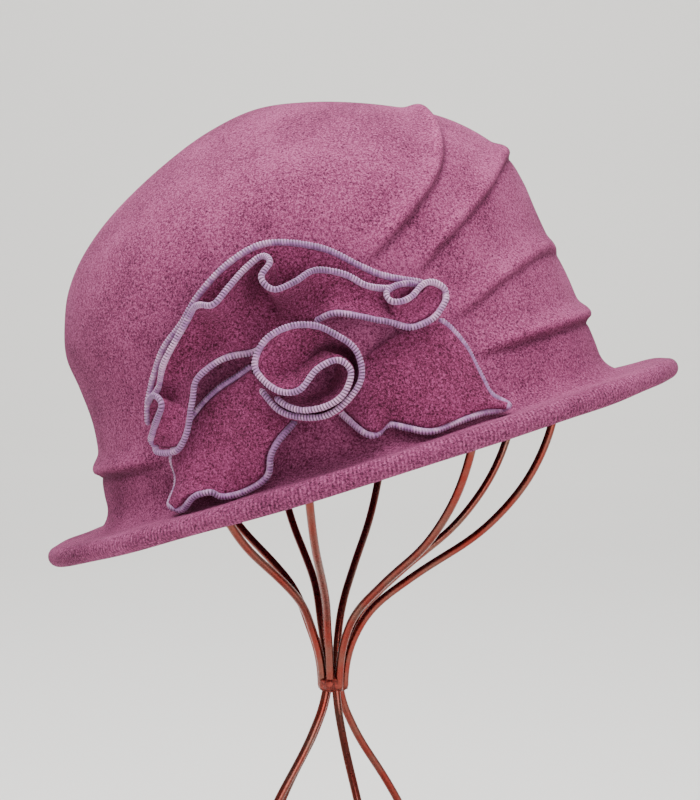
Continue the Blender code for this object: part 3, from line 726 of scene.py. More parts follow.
def overlock_thread(settings):
    """Overlocked polyester thread, dyed in stretches of pale pink, lilac and purple.

    The eye gets a row of plump stitches with wool between them, painted darker as shade in
    the gaps, and a faint silky light.
    """
    material, tree, shader = new_material("overlock_thread")
    where = add_node(tree, "ShaderNodeTexCoord").outputs["Object"]
    stitch = add_node(tree, "ShaderNodeAttribute", attribute_name="stitch").outputs["Fac"]
    tone = add_node(tree, "ShaderNodeAttribute", attribute_name="tone").outputs["Fac"]
    dye = add_node(tree, "ShaderNodeValToRGB", {"Fac": tone})
    dye.color_ramp.elements[0].position = 0.0
    dye.color_ramp.elements[0].color = settings.thread_dark
    dye.color_ramp.elements[1].position = 1.0
    dye.color_ramp.elements[1].color = settings.thread_light
    dye.color_ramp.elements.new(0.5).color = settings.thread_middle
    strand = add_node(tree, "ShaderNodeTexNoise", {
        "Vector": where, "Scale": THREAD_STRANDS, "Detail": 2.0}).outputs["Fac"]
    # Where the stitch value is low the gap colour goes in: the wool between the stitches, painted
    # darker as shade
    colour = add_node(tree, "ShaderNodeMixRGB", {
        "Fac": stitch, "Color1": settings.gap_wool_and_shade, "Color2": dye.outputs["Color"]})
    bump = add_node(tree, "ShaderNodeBump", {
        "Height": strand, "Strength": 0.3, "Distance": 0.00015})
    set_sockets(tree, shader, {
        "Base Color": colour.outputs[0], "Normal": bump.outputs["Normal"], "Roughness": 0.55,
        "Sheen Weight": 0.3})
    return material


def copper_wire(settings):
    """Copper-plated steel wire, drawn, welded and lacquered.

    The eye gets a bright pinkish line where the sky falls on it, dull red on the sides where
    the plating has darkened, and fine lengthwise streaks and pits.
    """
    material, tree, shader = new_material("copper_plated_wire")
    where = add_node(tree, "ShaderNodeTexCoord").outputs["Object"]
    patches = add_node(tree, "ShaderNodeTexNoise", {
        "Vector": where, "Scale": PLATING_PATCHES, "Detail": 4.0, "Roughness": 0.6}).outputs["Fac"]
    streaks = add_node(tree, "ShaderNodeTexNoise", {
        "Vector": where, "Scale": WIRE_STREAKS, "Detail": 2.0}).outputs["Fac"]
    ramp = add_node(tree, "ShaderNodeValToRGB", {"Fac": patches})
    ramp.color_ramp.elements[0].position = 0.38
    ramp.color_ramp.elements[0].color = settings.copper_red
    ramp.color_ramp.elements[1].position = 0.66
    ramp.color_ramp.elements[1].color = settings.copper
    rough = add_node(tree, "ShaderNodeMapRange", {
        "Value": streaks, "From Min": 0.3, "From Max": 0.7, "To Min": 0.22, "To Max": 0.42})
    bump = add_node(tree, "ShaderNodeBump", {
        "Height": streaks, "Strength": 0.15, "Distance": 0.0003})
    set_sockets(tree, shader, {
        "Base Color": ramp.outputs["Color"], "Roughness": rough.outputs[0],
        "Normal": bump.outputs["Normal"], "Metallic": 1.0, "Coat Weight": 0.3,
        "Coat Roughness": 0.15})
    return material


def weld_bead(settings):
    """Brazed weld under the same lacquer: red, dull and pitted, with no clear reflection."""
    material, tree, shader = new_material("brazed_weld")
    where = add_node(tree, "ShaderNodeTexCoord").outputs["Object"]
    pits = add_node(tree, "ShaderNodeTexNoise", {
        "Vector": where, "Scale": WELD_PITS, "Detail": 3.0, "Roughness": 0.7}).outputs["Fac"]
    ramp = add_node(tree, "ShaderNodeValToRGB", {"Fac": pits})
    ramp.color_ramp.elements[0].position = 0.36
    ramp.color_ramp.elements[0].color = linear_colour("#4a1813")
    ramp.color_ramp.elements[1].position = 0.60
    ramp.color_ramp.elements[1].color = settings.weld
    bump = add_node(tree, "ShaderNodeBump", {
        "Height": pits, "Strength": 0.5, "Distance": 0.0006})
    set_sockets(tree, shader, {
        "Base Color": ramp.outputs["Color"], "Normal": bump.outputs["Normal"], "Metallic": 0.6,
        "Roughness": 0.48})
    return material


def pale_floor(settings):
    """Matt painted board: plain, with a mottle too faint to notice."""
    material, tree, shader = new_material("pale_board")
    where = add_node(tree, "ShaderNodeTexCoord").outputs["Object"]
    mottle = add_node(tree, "ShaderNodeTexNoise", {
        "Vector": where, "Scale": BOARD_MOTTLE, "Detail": 4.0}).outputs["Fac"]
    shade = add_node(tree, "ShaderNodeMapRange", {
        "Value": mottle, "To Min": 0.97, "To Max": 1.0})
    colour = add_node(tree, "ShaderNodeMixRGB", {
        "Fac": 1.0, "Color1": settings.floor, "Color2": shade.outputs[0]},
        blend_type="MULTIPLY")
    set_sockets(tree, shader, {
        "Base Color": colour.outputs[0], "Roughness": 0.9})
    return material


# The wool


def crown_levels(foot, swell, rings):
    """Heights of the rings of one side of the crown, evenly along it, top to foot."""
    top = CROWN_TOP + swell
    heights = foot + (top - foot) * np.sin(np.linspace(0.0, math.pi / 2, 400))
    points = crown_point(np.zeros_like(heights), heights, swell)
    return evenly(heights[:, None], points, rings)[::-1, 0][1:]


def stretch(section, swell, outset, level):
    """Rows of one stretch of the felt's section; a number fills its whole column."""
    return np.column_stack(np.broadcast_arrays(section, swell, outset, level))


def body_stations():
    """The felt's section from the top's outside round the brim to the top's inside.

    Each row is the height at which the crown's ellipse is read, the swell it is read with,
    how far it is then set out, and its own height. The brim's roll is a half circle and the
    turns from crown to brim are quarter circles.
    """
    top_of_brim = BRIM_LEVEL + BRIM_THICKNESS / 2
    foot_of_brim = BRIM_LEVEL - BRIM_THICKNESS / 2
    foot = top_of_brim + FLARE_RADIUS
    outer = crown_levels(foot, 0.0, CROWN_RINGS)
    parts = [stretch(outer, 0.0, 0.0, outer)]
    angle = math.pi / 2 * np.arange(1, FLARE_RINGS + 1) / FLARE_RINGS
    parts.append(stretch(foot, 0.0, FLARE_RADIUS * (1 - np.cos(angle)),
                         top_of_brim + FLARE_RADIUS * (1 - np.sin(angle))))
    roll = BRIM_THICKNESS / 2
    flat = np.linspace(FLARE_RADIUS, BRIM_PROJECTION - roll, BRIM_FLAT_RINGS + 2)[1:-1]
    parts.append(stretch(foot, 0.0, flat, top_of_brim))
    angle = math.pi / 2 - math.pi * np.arange(ROLL_RINGS + 1) / ROLL_RINGS
    parts.append(stretch(foot, 0.0, BRIM_PROJECTION - roll + roll * np.cos(angle),
                         BRIM_LEVEL + roll * np.sin(angle)))
    inner_flare = FLARE_RADIUS + FELT
    inner_foot = foot_of_brim + inner_flare
    angle = math.pi / 2 * (1 - np.arange(FLARE_RINGS) / FLARE_RINGS)
    parts.append(stretch(inner_foot, -FELT, inner_flare * (1 - np.cos(angle)),
                         foot_of_brim + inner_flare * (1 - np.sin(angle))))
    inner = crown_levels(inner_foot, -FELT, INNER_RINGS)[::-1]
    parts.append(stretch(inner, -FELT, 0.0, inner))
    return np.vstack(parts)


def tuck_rise(points, stands, rows):
    """How far one tuck lifts each point of the crown.

    The nearest place on the tuck's crest is found for every point. The distance to its steep
    side, in tuck widths, is read off the fold's section, and a quarter sine wave fades the
    fold out at both ends. A second value, painted light and shade for the colour, is 0.55 on
    the crest, a painted highlight, and -1 in the valley, painted shade: the difference of
    two bell curves.
    """
    rows = smooth_rows(rows, CURVE_STEPS) * (1.0, CROWN_TOP)
    line = crown_point(rows[:, 0], rows[:, 1])
    length = length_of(line)
    rows = evenly(rows, line, round(length / LINE_STEP))
    line = crown_point(rows[:, 0], rows[:, 1])
    ahead = unit(np.gradient(line, axis=0))
    reach = CROWN_TOP / 200
    round_it = crown_point(rows[:, 0] + 1, rows[:, 1]) - crown_point(rows[:, 0] - 1, rows[:, 1])
    up_it = (crown_point(rows[:, 0], rows[:, 1] + reach)
             - crown_point(rows[:, 0], rows[:, 1] - reach))
    side = unit(np.cross(ahead, unit(np.cross(round_it, up_it))))
    along = np.linspace(0.0, length, len(line))
    ends = np.minimum(along, length - along) / TUCK_FADE
    size = stands * np.sin(math.pi / 2 * np.minimum(ends, 1.0))
    flat = points.reshape(-1, 3)
    nearest = np.empty(len(flat), int)
    square = np.sum(line**2, axis=1)
    for start in range(0, len(flat), POINTS_AT_ONCE):
        some = slice(start, start + POINTS_AT_ONCE)
        nearest[some] = np.argmin(square - 2 * flat[some] @ line.T, axis=1)
    across = np.sum((flat - line[nearest]) * side[nearest], axis=1) / TUCK_WIDTH
    section = smooth_rows(TUCK_SECTION, 8)
    rise = np.interp(across, section[:, 0], section[:, 1]) * size[nearest]
    # Painted highlight on the crest and painted shade in the valley, for the colour
    painted_tuck_shading = (CREST_HIGHLIGHT * np.exp(-(((across - CREST) / CREST_WIDTH) ** 2))
            - np.exp(-(((across - VALLEY) / VALLEY_WIDTH) ** 2))) * size[nearest]
    return rise.reshape(points.shape[:-1]), painted_tuck_shading.reshape(points.shape[:-1])


def columns_round():
    """Shares of a turn for the columns, closer together where the tucks are.

    Their density is 1 and a bell curve more; its running total is read backwards.
    """
    fine = np.linspace(0.0, 2 * math.pi, 4001)
    off = (fine - TUCKS_AT + math.pi) % (2 * math.pi) - math.pi
    density = 1 + TUCKS_CLOSER * np.exp(-((off / TUCKS_SPREAD) ** 2))
    total = np.concatenate([[0.0], np.cumsum((density[1:] + density[:-1]) / 2)])
    return np.interp(np.linspace(0.0, total[-1], AROUND + 1), total, fine) / (2 * math.pi)


def felt_body(settings):
    """Crown and brim as one shell: rings of ellipses, lifted along their normals by the tucks.

    Three values go to the material: how far round the brim's roll a ring lies, how much of
    the knit's ribs still shows there, and the tucks' painted light and shade, lighter on
    their crests and darker in their valleys.
    """
    stations = body_stations()
    section, swell, outset, level = (column[:, None] for column in stations.T)
    middle, half_length, half_width = crown_section(section, swell)
    around = columns_round()
    angle = 2 * math.pi * around[None, :-1]
    grid = np.stack([middle + (half_length + outset) * np.cos(angle),
                     (half_width + outset) * np.sin(angle),
                     level + 0 * angle], axis=-1)
    normals = grid_normals(grid, True)
    if np.sum(normals[:CROWN_RINGS, :, :2] * grid[:CROWN_RINGS, :, :2]) < 0:
        normals = -normals
    outer = np.zeros(grid.shape[:2])
    # Painted light and shade of the tucks, for the material's colour
    painted_tuck_shading = np.zeros(grid.shape[:2])
    for stands, rows in TUCKS.values():
        for kept, new in zip((outer, painted_tuck_shading), tuck_rise(grid[:CROWN_RINGS], stands, rows)):
            kept = kept[:CROWN_RINGS]
            kept[:] = np.where(np.abs(new) > np.abs(kept), new, kept)
    outer *= settings.tuck
    outer += 0.00025 * ripple(grid, 0.045, 3)
    grid = grid + normals * outer[..., None]
    roll_start = CROWN_RINGS + FLARE_RINGS + BRIM_FLAT_RINGS
    turn = (np.arange(len(stations)) - roll_start)[:, None] / ROLL_RINGS
    ribbed = np.clip(1.9 - np.abs(turn - 0.45) * 2.4, 0.0, 1.0)
    poles = [grid[0].mean(axis=0), grid[-1].mean(axis=0)]
    piece = closed_mesh("felt_crown_and_brim", to_world(grid), to_world(np.array(poles)),
                        {"roll": turn + 0 * angle, "ribbed": ribbed + 0 * angle,
                         "painted_tuck_shading": painted_tuck_shading},
                        boiled_wool("boiled_wool", settings, settings.wool_light,
                                    settings.wool_middle, settings.wool_dark, True), around)
    return piece


def petal_grid(rows, belly, sag_share, inner_side, rim, shares):
    """The petal's middle surface: straight from inner to outer edge, bowed by half a sine.

    The bow is the belly outward, less a share of the petal's own width.
    """
    rows = np.asarray(rows, float)
    outer = smooth_rows(flower_rows(rows[:, :3], rim), PETAL_STATIONS)
    inner = smooth_rows(flower_rows(rows[:, 3:], rim * inner_side), PETAL_STATIONS)
    places = inner[:, None] + (outer - inner)[:, None] * shares[None, :, None]
    width = np.linalg.norm((outer - inner)[:, :2], axis=1)
    places[..., 2] += (belly - sag_share * width)[:, None] * np.sin(math.pi * shares)
    return flower_point(places)


def petal(name, node, rows, belly, sag_share, inner_side, material):
    """A petal's felt: the middle surface, thickened along its normals.

    The thickness keeps to a half circle at both edges, so that the felt ends round inside
    its edging. Each station is one closed loop, over the top and back underneath.
    """
    shares = (1 - np.cos(math.pi * np.linspace(0.0, 1.0, PETAL_ACROSS + 1))) / 2
    grid = petal_grid(rows, belly, sag_share, inner_side, EDGING * FELT_IN_EDGING, shares)
    normals = grid_normals(grid, False)
    width = np.linalg.norm(np.diff(grid, axis=1), axis=2).sum(axis=1)[:, None]
    half = FLOWER_FELT / 2
    from_edge = np.minimum(shares, 1 - shares)[None, :] * width
    inside = np.clip(1 - from_edge / half, 0.0, 1.0)
    thick = half * np.sqrt(1 - inside**2)
    grid = grid + normals * (0.00022 * ripple(grid, 0.014, 7))[..., None]
    over = grid + normals * thick[..., None]
    under = grid - normals * thick[..., None]
    loops = np.concatenate([over, under[:, -2:0:-1]], axis=1)
    poles = np.array([grid[0].mean(axis=0), grid[-1].mean(axis=0)])
    piece = closed_mesh(name, to_world(loops), to_world(poles), {}, material)
    hand_over(piece, "petal_felt", node)


def edging_path(rows, belly, sag_share, inner_side, walk):
    """The overlocked edge's middle line and the felt's normal along it.

    The line is the petal's rim, set out by half the edging. Over a tip it runs straight
    from one edge to the other, and a moving mean then rounds its corners.
    """
    shares = np.linspace(0.0, 1.0, 7)
    grid = petal_grid(rows, belly, sag_share, inner_side, EDGING / 2 + SEAT_GAP, shares)
    normals = grid_normals(grid, False)
    count, width = grid.shape[:2]
    along = unit(np.gradient(grid, axis=0))
    i, j = np.transpose(walk(count, width))
    at_outer = (j == width - 1)[:, None]
    at_inner = (j == 0)[:, None]
    beside = np.where(at_outer, grid[i, -1] - grid[i, -2], grid[i, 0] - grid[i, 1])
    outward = np.where(at_outer | at_inner, square_to(beside, along[i, j]), 0.0)
    outward += np.where((i == count - 1)[:, None], along[i, j], 0.0)
    outward -= np.where((i == 0)[:, None], along[i, j], 0.0)
    points = grid[i, j] + unit(outward) * (EDGING / 2 + SEAT_GAP)
    both = np.column_stack([points, normals[i, j]])
    both = evenly(both, points, round(length_of(points) / EDGING_STEP))
    ends = np.vstack([both[:1].repeat(3, axis=0), both, both[-1:].repeat(3, axis=0)])
    return moving_mean(ends, 7)


def edging(name, node, path, settings, material, seed):
    """A plump overlocked edge: an oval tube whose radius dips between the stitches.

    The dip is a bell curve of the distance to the nearest gap, in stitches, deepest on the
    side away from the felt, where the loops lock. Gaps slant across the edge.
    """
    points, normals = path[:, :3], path[:, 3:]
    stitches = round(length_of(points) / settings.stitch)
    both = evenly(path, points, stitches * STEPS_A_STITCH)
    points = both[:, :3]
    ahead = unit(np.gradient(points, axis=0))
    normal = square_to(both[:, 3:], ahead)
    outward = np.cross(ahead, normal)
    random = np.random.default_rng(seed)
    count = len(points)
    place = np.arange(count) / STEPS_A_STITCH
    plump = np.interp(place, np.arange(stitches + 2), random.uniform(0.94, 1.05, stitches + 2))
    angle = 2 * math.pi * np.arange(EDGING_SIDES)[None, :] / EDGING_SIDES
    phase = place[:, None] + 0.16 * np.sin(angle)
    gap = np.abs(phase - np.round(phase))
    locked = 0.55 + 0.33 * np.cos(angle) + 0.12 * np.cos(2 * angle)
    between = np.exp(-((gap / 0.25) ** 2))
    dip = locked * between
    crossing = np.abs(place[:, None] + 0.5 - np.round(place[:, None] + 0.5))
    dots = (np.exp(-((crossing / 0.24) ** 2))
            * np.exp(-(((np.abs(angle - math.pi) - 0.95) / 0.30) ** 2)))
    # The stitch value's dark marks are painted shade: the gaps between stitches, darkest on the
    # side away from the felt, and a row of dots on each flank near the felt, where the loops cross
    outer_side = np.clip(0.55 + 0.75 * np.cos(angle), 0.12, 1.0)
    dark = np.clip(np.maximum(outer_side * between, 0.8 * dots), 0.0, 1.0)
    radius = settings.edging / 2 * plump[:, None] * (1.0 - 0.24 * dip - 0.10 * dots)
    ends = np.minimum(place, place[-1] - place)[:, None]
    radius = radius * np.sqrt(np.clip(ends / 1.2, 0.02, 1.0))
    grid = (points[:, None] + outward[:, None] * (radius * np.cos(angle))[..., None]
            + normal[:, None] * (0.9 * radius * np.sin(angle))[..., None])
    dye = np.interp(place, np.arange(stitches + 2), random.uniform(-0.24, 0.24, stitches + 2))
    slow = np.sin(place / 9.0 + seed) + np.sin(place / 23.0 + 2.0 * seed)
    tone = np.clip(0.56 + dye + 0.13 * slow, 0.0, 1.0)[:, None] + 0 * angle
    piece = closed_mesh(name, to_world(grid), to_world(points[[0, -1]]),
                        {"stitch": 1.0 - dark, "tone": tone}, material)
    hand_over(piece, "thread", node)
    return piece


def outer_walk(count, width):
    return [(i, width - 1) for i in range(count)]


def tip(count, width):
    """Across the far end of a petal, from its outer edge to its inner."""
    return [(count - 1, j) for j in range(width - 2, 0, -1)]


def tip_walk(start, finish):
    """Along the outer edge from a row, round the far tip and back along the inner edge."""
    def walk(count, width):
        out = [(i, width - 1) for i in range(start * PETAL_STATIONS, count)]
        back = [(i, 0) for i in range(count - 1, finish * PETAL_STATIONS - 1, -1)]
        return out + tip(count, width) + back
    return walk


def ruffle_walk(tail, head):
    """Along the inner edge to one tip, all of the outer edge, and back from the other tip."""
    def walk(count, width):
        near = [(i, 0) for i in range(tail * PETAL_STATIONS, -1, -1)]
        first = [(0, j) for j in range(1, width - 1)]
        out = [(i, width - 1) for i in range(count)]
        back = [(i, 0) for i in range(count - 1, count - head * PETAL_STATIONS - 2, -1)]
        return near + first + out + tip(count, width) + back
    return walk


# Each petal's rows, belly, sag, side of its inner edge and the walk of its edging
PETALS = {
    "back_petal": (BACK_PETAL, 0.0, 0.0, -1, outer_walk),
    "ruffle": (RUFFLE, 0.0, RUFFLE_SAG_SHARE, -1, ruffle_walk(RUFFLE_TAIL, RUFFLE_HEAD)),
    "right_petal": (RIGHT_PETAL, PETAL_BELLY, 0.0, 1,
                    tip_walk(RIGHT_PETAL_START, RIGHT_PETAL_FINISH)),
    "left_petal": (LEFT_PETAL, PETAL_BELLY, 0.0, 1,
                   tip_walk(LEFT_PETAL_START, LEFT_PETAL_FINISH)),
    "rosette": (ROSETTE, 0.0, 0.0, 0, outer_walk),
}


# The stand


def inner_crown_height(x, y):
    """The world height of the crown's inside over a place on the floor, by halving."""
    to_hat = hat_matrix().inverted()
    low = WAIST_HEIGHT + BRIM_ABOVE_WAIST
    high = low + CROWN_TOP
    for _ in range(40):
        level = (low + high) / 2
        place = to_hat @ Vector((x, y, level))
        middle, half_length, half_width = crown_section(place.z, -FELT)
        if math.hypot((place.x - middle) / half_length, place.y / half_width) < 1.0:
            low = level
        else:
            high = level
    return low


def seat_height():
    """How high the stand's top disc reaches: a gap under the lowest felt over its rim."""
    radius = TOP_DISC_DIAMETER / 2
    angles = [2 * math.pi * step / 16 for step in range(16)]
    return min(inner_crown_height(-STAND_OFFSET + radius * math.cos(angle),
                                  radius * math.sin(angle)) for angle in angles) - SEAT_GAP


def rib_path(number, azimuth):
    """One rib: out of the waist, along the open rows, over the dome to the top disc."""
    top = seat_height() - TOP_DISC_THICKNESS / 2 - WAIST_HEIGHT
    foot = COLLAR_LENGTH / 2 + SEAT_GAP
    rows = smooth_rows([(RIB_PITCH_RADIUS / CAGE_RADIUS, (foot + WIRE) / CAGE_WIDEST)]
                       + RIB_ROWS, 10) * (CAGE_RADIUS, CAGE_WIDEST)
    finish = TOP_DISC_DIAMETER / 2 + SEAT_GAP
    last = math.acos((finish + WIRE) / CAGE_RADIUS)
    angle = last * np.arange(1, 41) / 40
    dome = np.column_stack([CAGE_RADIUS * np.cos(angle),
                            CAGE_WIDEST + (top - CAGE_WIDEST) * np.sin(angle) / math.sin(last)])
    profile = np.vstack([[(RIB_PITCH_RADIUS, -foot * 0.6), (RIB_PITCH_RADIUS, foot)], rows,
                         dome, [(finish, top)]])
    reach, height = profile.T
    at_waist = FIRST_RIB_AT_WAIST + number * 360 / len(RIB_AZIMUTHS)
    spread = eased((reach - RIB_PITCH_RADIUS) / RIB_FAN)
    turn = np.radians(at_waist + (azimuth - at_waist) * spread)
    wide = eased((reach - RIB_PITCH_RADIUS) / (CAGE_RADIUS / 2))
    depth = 1.0 + (CAGE_DEPTH / CAGE_RADIUS - 1.0) * wide
    return softened(np.column_stack([
        -STAND_OFFSET + reach * np.cos(turn), reach * depth * np.sin(turn),
        WAIST_HEIGHT + height]), RIB_BEND)


def leg_path(azimuth):
    """One leg, from under the waist out to the base ring."""
    head = WAIST_HEIGHT - COLLAR_LENGTH / 2 - SEAT_GAP
    rows = smooth_rows([(LEG_PITCH_RADIUS / BASE_RADIUS, (head - WIRE / 2) / WAIST_HEIGHT)]
                       + LEG_ROWS, 10) * (BASE_RADIUS, WAIST_HEIGHT)
    ring = np.array([BASE_RADIUS, WIRE / 2])
    approach = unit(ring - rows[-1])
    profile = np.vstack([[(LEG_PITCH_RADIUS, WAIST_HEIGHT), (LEG_PITCH_RADIUS, head)], rows,
                         [ring - approach * WIRE * 0.3]])
    turn = math.radians(azimuth)
    reach, height = profile.T
    return softened(np.column_stack([-STAND_OFFSET + reach * math.cos(turn),
                                     reach * math.sin(turn), height]), RIB_BEND)


def ring_path():
    """The foot: one wire bent round to a circle on the floor, its ends butted."""
    turn = np.linspace(0.0, 2 * math.pi, 361)
    return np.column_stack([-STAND_OFFSET + BASE_RADIUS * np.cos(turn),
                            BASE_RADIUS * np.sin(turn), np.full_like(turn, WIRE / 2)])


def turned(name, node, radius, height, material):
    """A piece about the stand's axis, from a grid of radii and a column of heights."""
    turn = 2 * math.pi * np.arange(radius.shape[1])[None, :] / radius.shape[1]
    grid = np.stack([-STAND_OFFSET + radius * np.cos(turn), radius * np.sin(turn),
                     height[:, None] + 0 * turn], axis=-1)
    poles = np.array([grid[0].mean(axis=0), grid[-1].mean(axis=0)])
    hand_over(closed_mesh(name, grid, poles, {}, material), "wire", node)


def waist_weld(material):
    """The brazed knot at the waist: the ribs' round backs, filled between and lumpy.

    Each radius is the outside of the nearest rib's circle, or the filling where that is
    further out. A bell-shaped bead stands on the front, and both ends round inwards.
    """
    share = np.linspace(-1.0, 1.0, 48)[:, None]
    turn = 2 * math.pi * np.arange(WELD_SIDES)[None, :] / WELD_SIDES
    pitch = 2 * math.pi / len(RIB_AZIMUTHS)
    off = (turn - math.radians(FIRST_RIB_AT_WAIST) + pitch / 2) % pitch - pitch / 2
    inside = np.maximum((WIRE / 2 + 0.0002) ** 2 - (RIB_PITCH_RADIUS * np.sin(off)) ** 2, 0.0)
    ribs = RIB_PITCH_RADIUS * np.cos(off) + np.sqrt(inside) - 0.0003
    around = (turn - WELD_BEAD_TURN + math.pi) % (2 * math.pi) - math.pi
    bead = np.exp(-((around * RIB_PITCH_RADIUS / 0.0030) ** 4) - ((share - 0.05) / 0.62) ** 4)
    radius = np.maximum(ribs, 0.0054) + 0.0013 * bead
    place = np.stack([radius * np.cos(turn), radius * np.sin(turn),
                      COLLAR_LENGTH / 2 * share + 0 * turn], axis=-1)
    radius = radius + 0.00022 * ripple(place, 0.0035, 11)
    radius *= 0.93 + 0.05 * share
    radius *= (1 - np.abs(share) ** 7) ** 0.5 * 0.72 + 0.28
    turned("waist_weld", "waist_collar", radius, WAIST_HEIGHT + COLLAR_LENGTH / 2 * share[:, 0],
           material)


def top_plate(material):
    """The round plate that the ribs meet at: flat faces, and an edge rounded by a half oval."""
    angle = np.linspace(0.0, math.pi, 25)
    edge = TOP_DISC_THICKNESS / 2
    radius = TOP_DISC_DIAMETER / 2 - edge * (1 - np.sin(angle) ** 0.7)
    height = edge * np.sign(np.cos(angle)) * np.abs(np.cos(angle)) ** 0.7
    inner = np.array([0.2, 0.6]) * (TOP_DISC_DIAMETER / 2 - edge)
    radius = np.concatenate([inner, radius, inner[::-1]])
    height = np.concatenate([[edge, edge], height, [-edge, -edge]])
    middle = seat_height() - edge
    turned("top_plate", "top_disc", np.repeat(radius[:, None], 96, axis=1), middle + height,
           material)


def wire_piece(name, node, path, settings, material):
    """A round wire: a circle carried along the path, square to it, ends slightly rounded."""
    points = evenly(path, path, round(length_of(path) / WIRE_STEP))
    ahead = unit(np.gradient(points, axis=0))
    side = np.cross(ahead, np.broadcast_to([0.31, 0.93, 0.17], ahead.shape))
    side = square_to(side, ahead)
    up = np.cross(side, ahead)
    angle = 2 * math.pi * np.arange(WIRE_SIDES)[None, :] / WIRE_SIDES
    radius = np.full((len(points), 1), settings.wire / 2)
    radius[[0, -1]] *= 0.8
    grid = (points[:, None] + side[:, None] * (radius * np.cos(angle))[..., None]
            + up[:, None] * (radius * np.sin(angle))[..., None])
    hand_over(closed_mesh(name, grid, points[[0, -1]], {}, material), "wire", node)


class CLOCHE_OT_wool(bpy.types.Operator):
    """Build the felted crown and brim with its sewn tucks"""

    bl_idname = "cloche.wool"
    bl_label = "Crown and brim"

    def execute(self, context):
        piece = felt_body(context.scene.cloche_hat)
        hand_over(piece, "felt", "hat_body")
        return {"FINISHED"}


class CLOCHE_OT_petals(bpy.types.Operator):
    """Build the flower's felt strips"""

    bl_idname = "cloche.petals"
    bl_label = "Petals and rosette"

    def execute(self, context):
        settings = context.scene.cloche_hat
        # The strips get the wool's darker, redder copy: partly their own felt, partly painted
        # shade of the flower's folds
        wool = boiled_wool("boiled_wool_strip_shaded", settings, settings.shaded_strip_light,
                           settings.shaded_strip_middle, settings.shaded_strip_dark, False)
        for node, (rows, belly, sag_share, inner_side, _) in PETALS.items():
            petal(node + "_felt", node, rows, belly, sag_share, inner_side, wool)
        return {"FINISHED"}


class CLOCHE_OT_edgings(bpy.types.Operator):
    """Build the overlocked thread along the edges of the petals and the rosette"""

    bl_idname = "cloche.edgings"
    bl_label = "Edgings"

    def execute(self, context):
        settings = context.scene.cloche_hat
        thread = overlock_thread(settings)
        for seed, (node, (rows, belly, sag_share, inner_side, walk)) in enumerate(
                PETALS.items()):
            path = edging_path(rows, belly, sag_share, inner_side, walk)
            stitches = edging(node + "_stitches", node + "_edging", path, settings, thread,
                              seed)
        return {"FINISHED"}


class CLOCHE_OT_stand(bpy.types.Operator):
    """Build the stand's wires, waist and top disc"""

    bl_idname = "cloche.stand"
    bl_label = "Wire stand"

    def execute(self, context):
        settings = context.scene.cloche_stand
        copper = copper_wire(settings)
        for number, azimuth in enumerate(RIB_AZIMUTHS):
            wire_piece(f"rib_wire_{number + 1}", f"rib_{number + 1}",
                       rib_path(number, azimuth), settings, copper)
        for number, azimuth in enumerate(LEG_AZIMUTHS, 1):
            wire_piece(f"leg_wire_{number}", f"leg_{number}", leg_path(azimuth), settings, copper)
        wire_piece("ring_wire", "base_ring", ring_path(), settings, copper)
        waist_weld(weld_bead(settings))
        top_plate(copper)
        return {"FINISHED"}


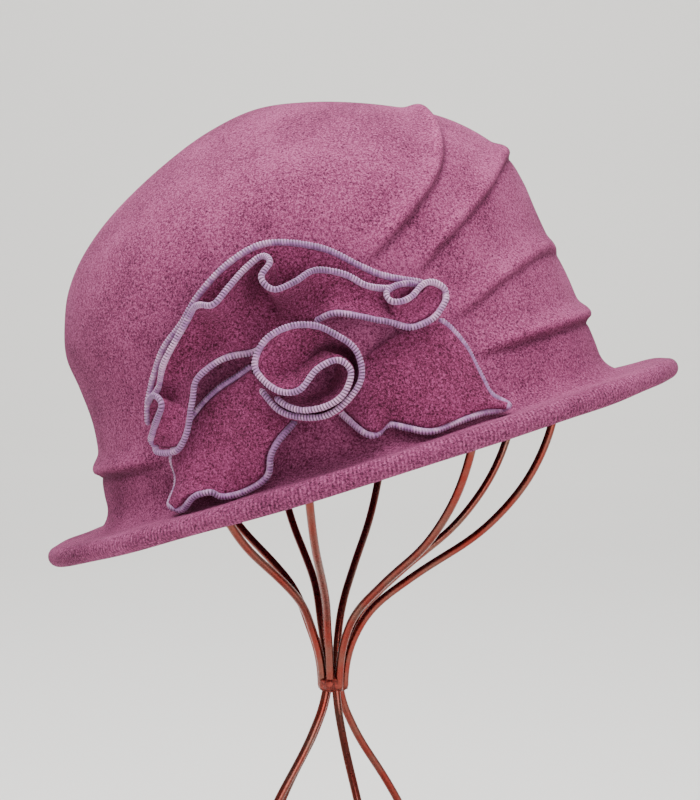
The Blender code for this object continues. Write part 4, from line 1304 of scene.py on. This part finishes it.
class CLOCHE_OT_stage(bpy.types.Operator):
    """Build the floor, the lights and the camera"""

    bl_idname = "cloche.stage"
    bl_label = "Floor, lights and camera"

    def execute(self, context):
        settings = context.scene.cloche_stage
        scene = context.scene
        angle = np.linspace(0.0, math.pi / 2, 24)
        profile = np.vstack([[(0.02, 0.0)], np.column_stack([
            FLOOR_RADIUS + WALL_CURVE * np.sin(angle), WALL_CURVE * (1 - np.cos(angle))]),
            [(FLOOR_RADIUS + WALL_CURVE, WALL_TOP)]])
        turn = 2 * math.pi * np.arange(96)[None, :] / 96
        grid = np.stack([profile[:, :1] * np.cos(turn), profile[:, :1] * np.sin(turn),
                         profile[:, 1:] + 0 * turn], axis=-1)
        rows, columns = grid.shape[:2]
        faces = [tuple(range(columns))]
        faces += [(i * columns + j, (i + 1) * columns + j,
                   (i + 1) * columns + (j + 1) % columns, i * columns + (j + 1) % columns)
                  for i in range(rows - 1) for j in range(columns)]
        mesh = bpy.data.meshes.new("floor")
        mesh.from_pydata(grid.reshape(-1, 3).tolist(), [], faces)
        mesh.materials.append(pale_floor(settings))
        mesh.shade_smooth()
        floor = bpy.data.objects.new("floor", mesh)
        scene.collection.objects.link(floor)
        target = Vector(CAMERA_TARGET)
        for name, place, size, power in (
            ("overhead", (-0.15, -0.20, 1.50), 1.5, settings.overhead),
            ("front", (0.9, -1.6, 0.55), 1.2, settings.front),
            ("backdrop", (0.0, 2.4, 3.0), 2.0, settings.backdrop),
        ):
            lamp = bpy.data.lights.new(name, "AREA")
            lamp.size = size
            lamp.energy = power
            holder = bpy.data.objects.new(name, lamp)
            holder.location = place
            aim = Vector((0.0, 4.8, 0.6)) if name == "backdrop" else target
            holder.rotation_euler = (aim - Vector(place)).to_track_quat("-Z", "Y").to_euler()
            scene.collection.objects.link(holder)
        world = bpy.data.worlds.new("studio")
        world.use_nodes = True
        back = world.node_tree.nodes["Background"]
        back.inputs["Color"].default_value = linear_colour("#eef1f6")
        back.inputs["Strength"].default_value = SKY_STRENGTH
        scene.world = world
        look = bpy.data.cameras.new("camera")
        look.sensor_fit = "HORIZONTAL"
        look.sensor_width = SENSOR_WIDTH
        look.lens = CAMERA_LENS
        camera = bpy.data.objects.new("camera", look)
        ahead = Vector((0.0, math.cos(CAMERA_DOWN), -math.sin(CAMERA_DOWN)))
        camera.location = target - ahead * CAMERA_DISTANCE
        camera.rotation_euler = ahead.to_track_quat("-Z", "Y").to_euler()
        scene.collection.objects.link(camera)
        scene.camera = camera
        return {"FINISHED"}


class CLOCHE_PT_panel(bpy.types.Panel):
    """The hat's pieces and their settings"""

    bl_idname = "CLOCHE_PT_panel"
    bl_label = "Cloche hat"
    bl_space_type = "VIEW_3D"
    bl_region_type = "UI"
    bl_category = "Cloche hat"

    def draw(self, context):
        for group in ("cloche_hat", "cloche_stand", "cloche_stage"):
            settings = getattr(context.scene, group)
            box = self.layout.box()
            for name in settings.__annotations__:
                box.prop(settings, name)
        for operator in OPERATORS:
            self.layout.operator(operator.bl_idname)


OPERATORS = (CLOCHE_OT_wool, CLOCHE_OT_petals, CLOCHE_OT_edgings, CLOCHE_OT_stand,
             CLOCHE_OT_stage)
CLASSES = (HatSettings, StandSettings, StageSettings, *OPERATORS, CLOCHE_PT_panel)


def register():
    for cls in CLASSES:
        bpy.utils.register_class(cls)
    bpy.types.Scene.cloche_hat = bpy.props.PointerProperty(type=HatSettings)
    bpy.types.Scene.cloche_stand = bpy.props.PointerProperty(type=StandSettings)
    bpy.types.Scene.cloche_stage = bpy.props.PointerProperty(type=StageSettings)


def unregister():
    del bpy.types.Scene.cloche_stage
    del bpy.types.Scene.cloche_stand
    del bpy.types.Scene.cloche_hat
    for cls in reversed(CLASSES):
        bpy.utils.unregister_class(cls)


def main():
    register()
    bpy.ops.cloche.wool()
    bpy.ops.cloche.petals()
    bpy.ops.cloche.edgings()
    bpy.ops.cloche.stand()
    bpy.ops.cloche.stage()


if __name__ == "__main__":
    main()
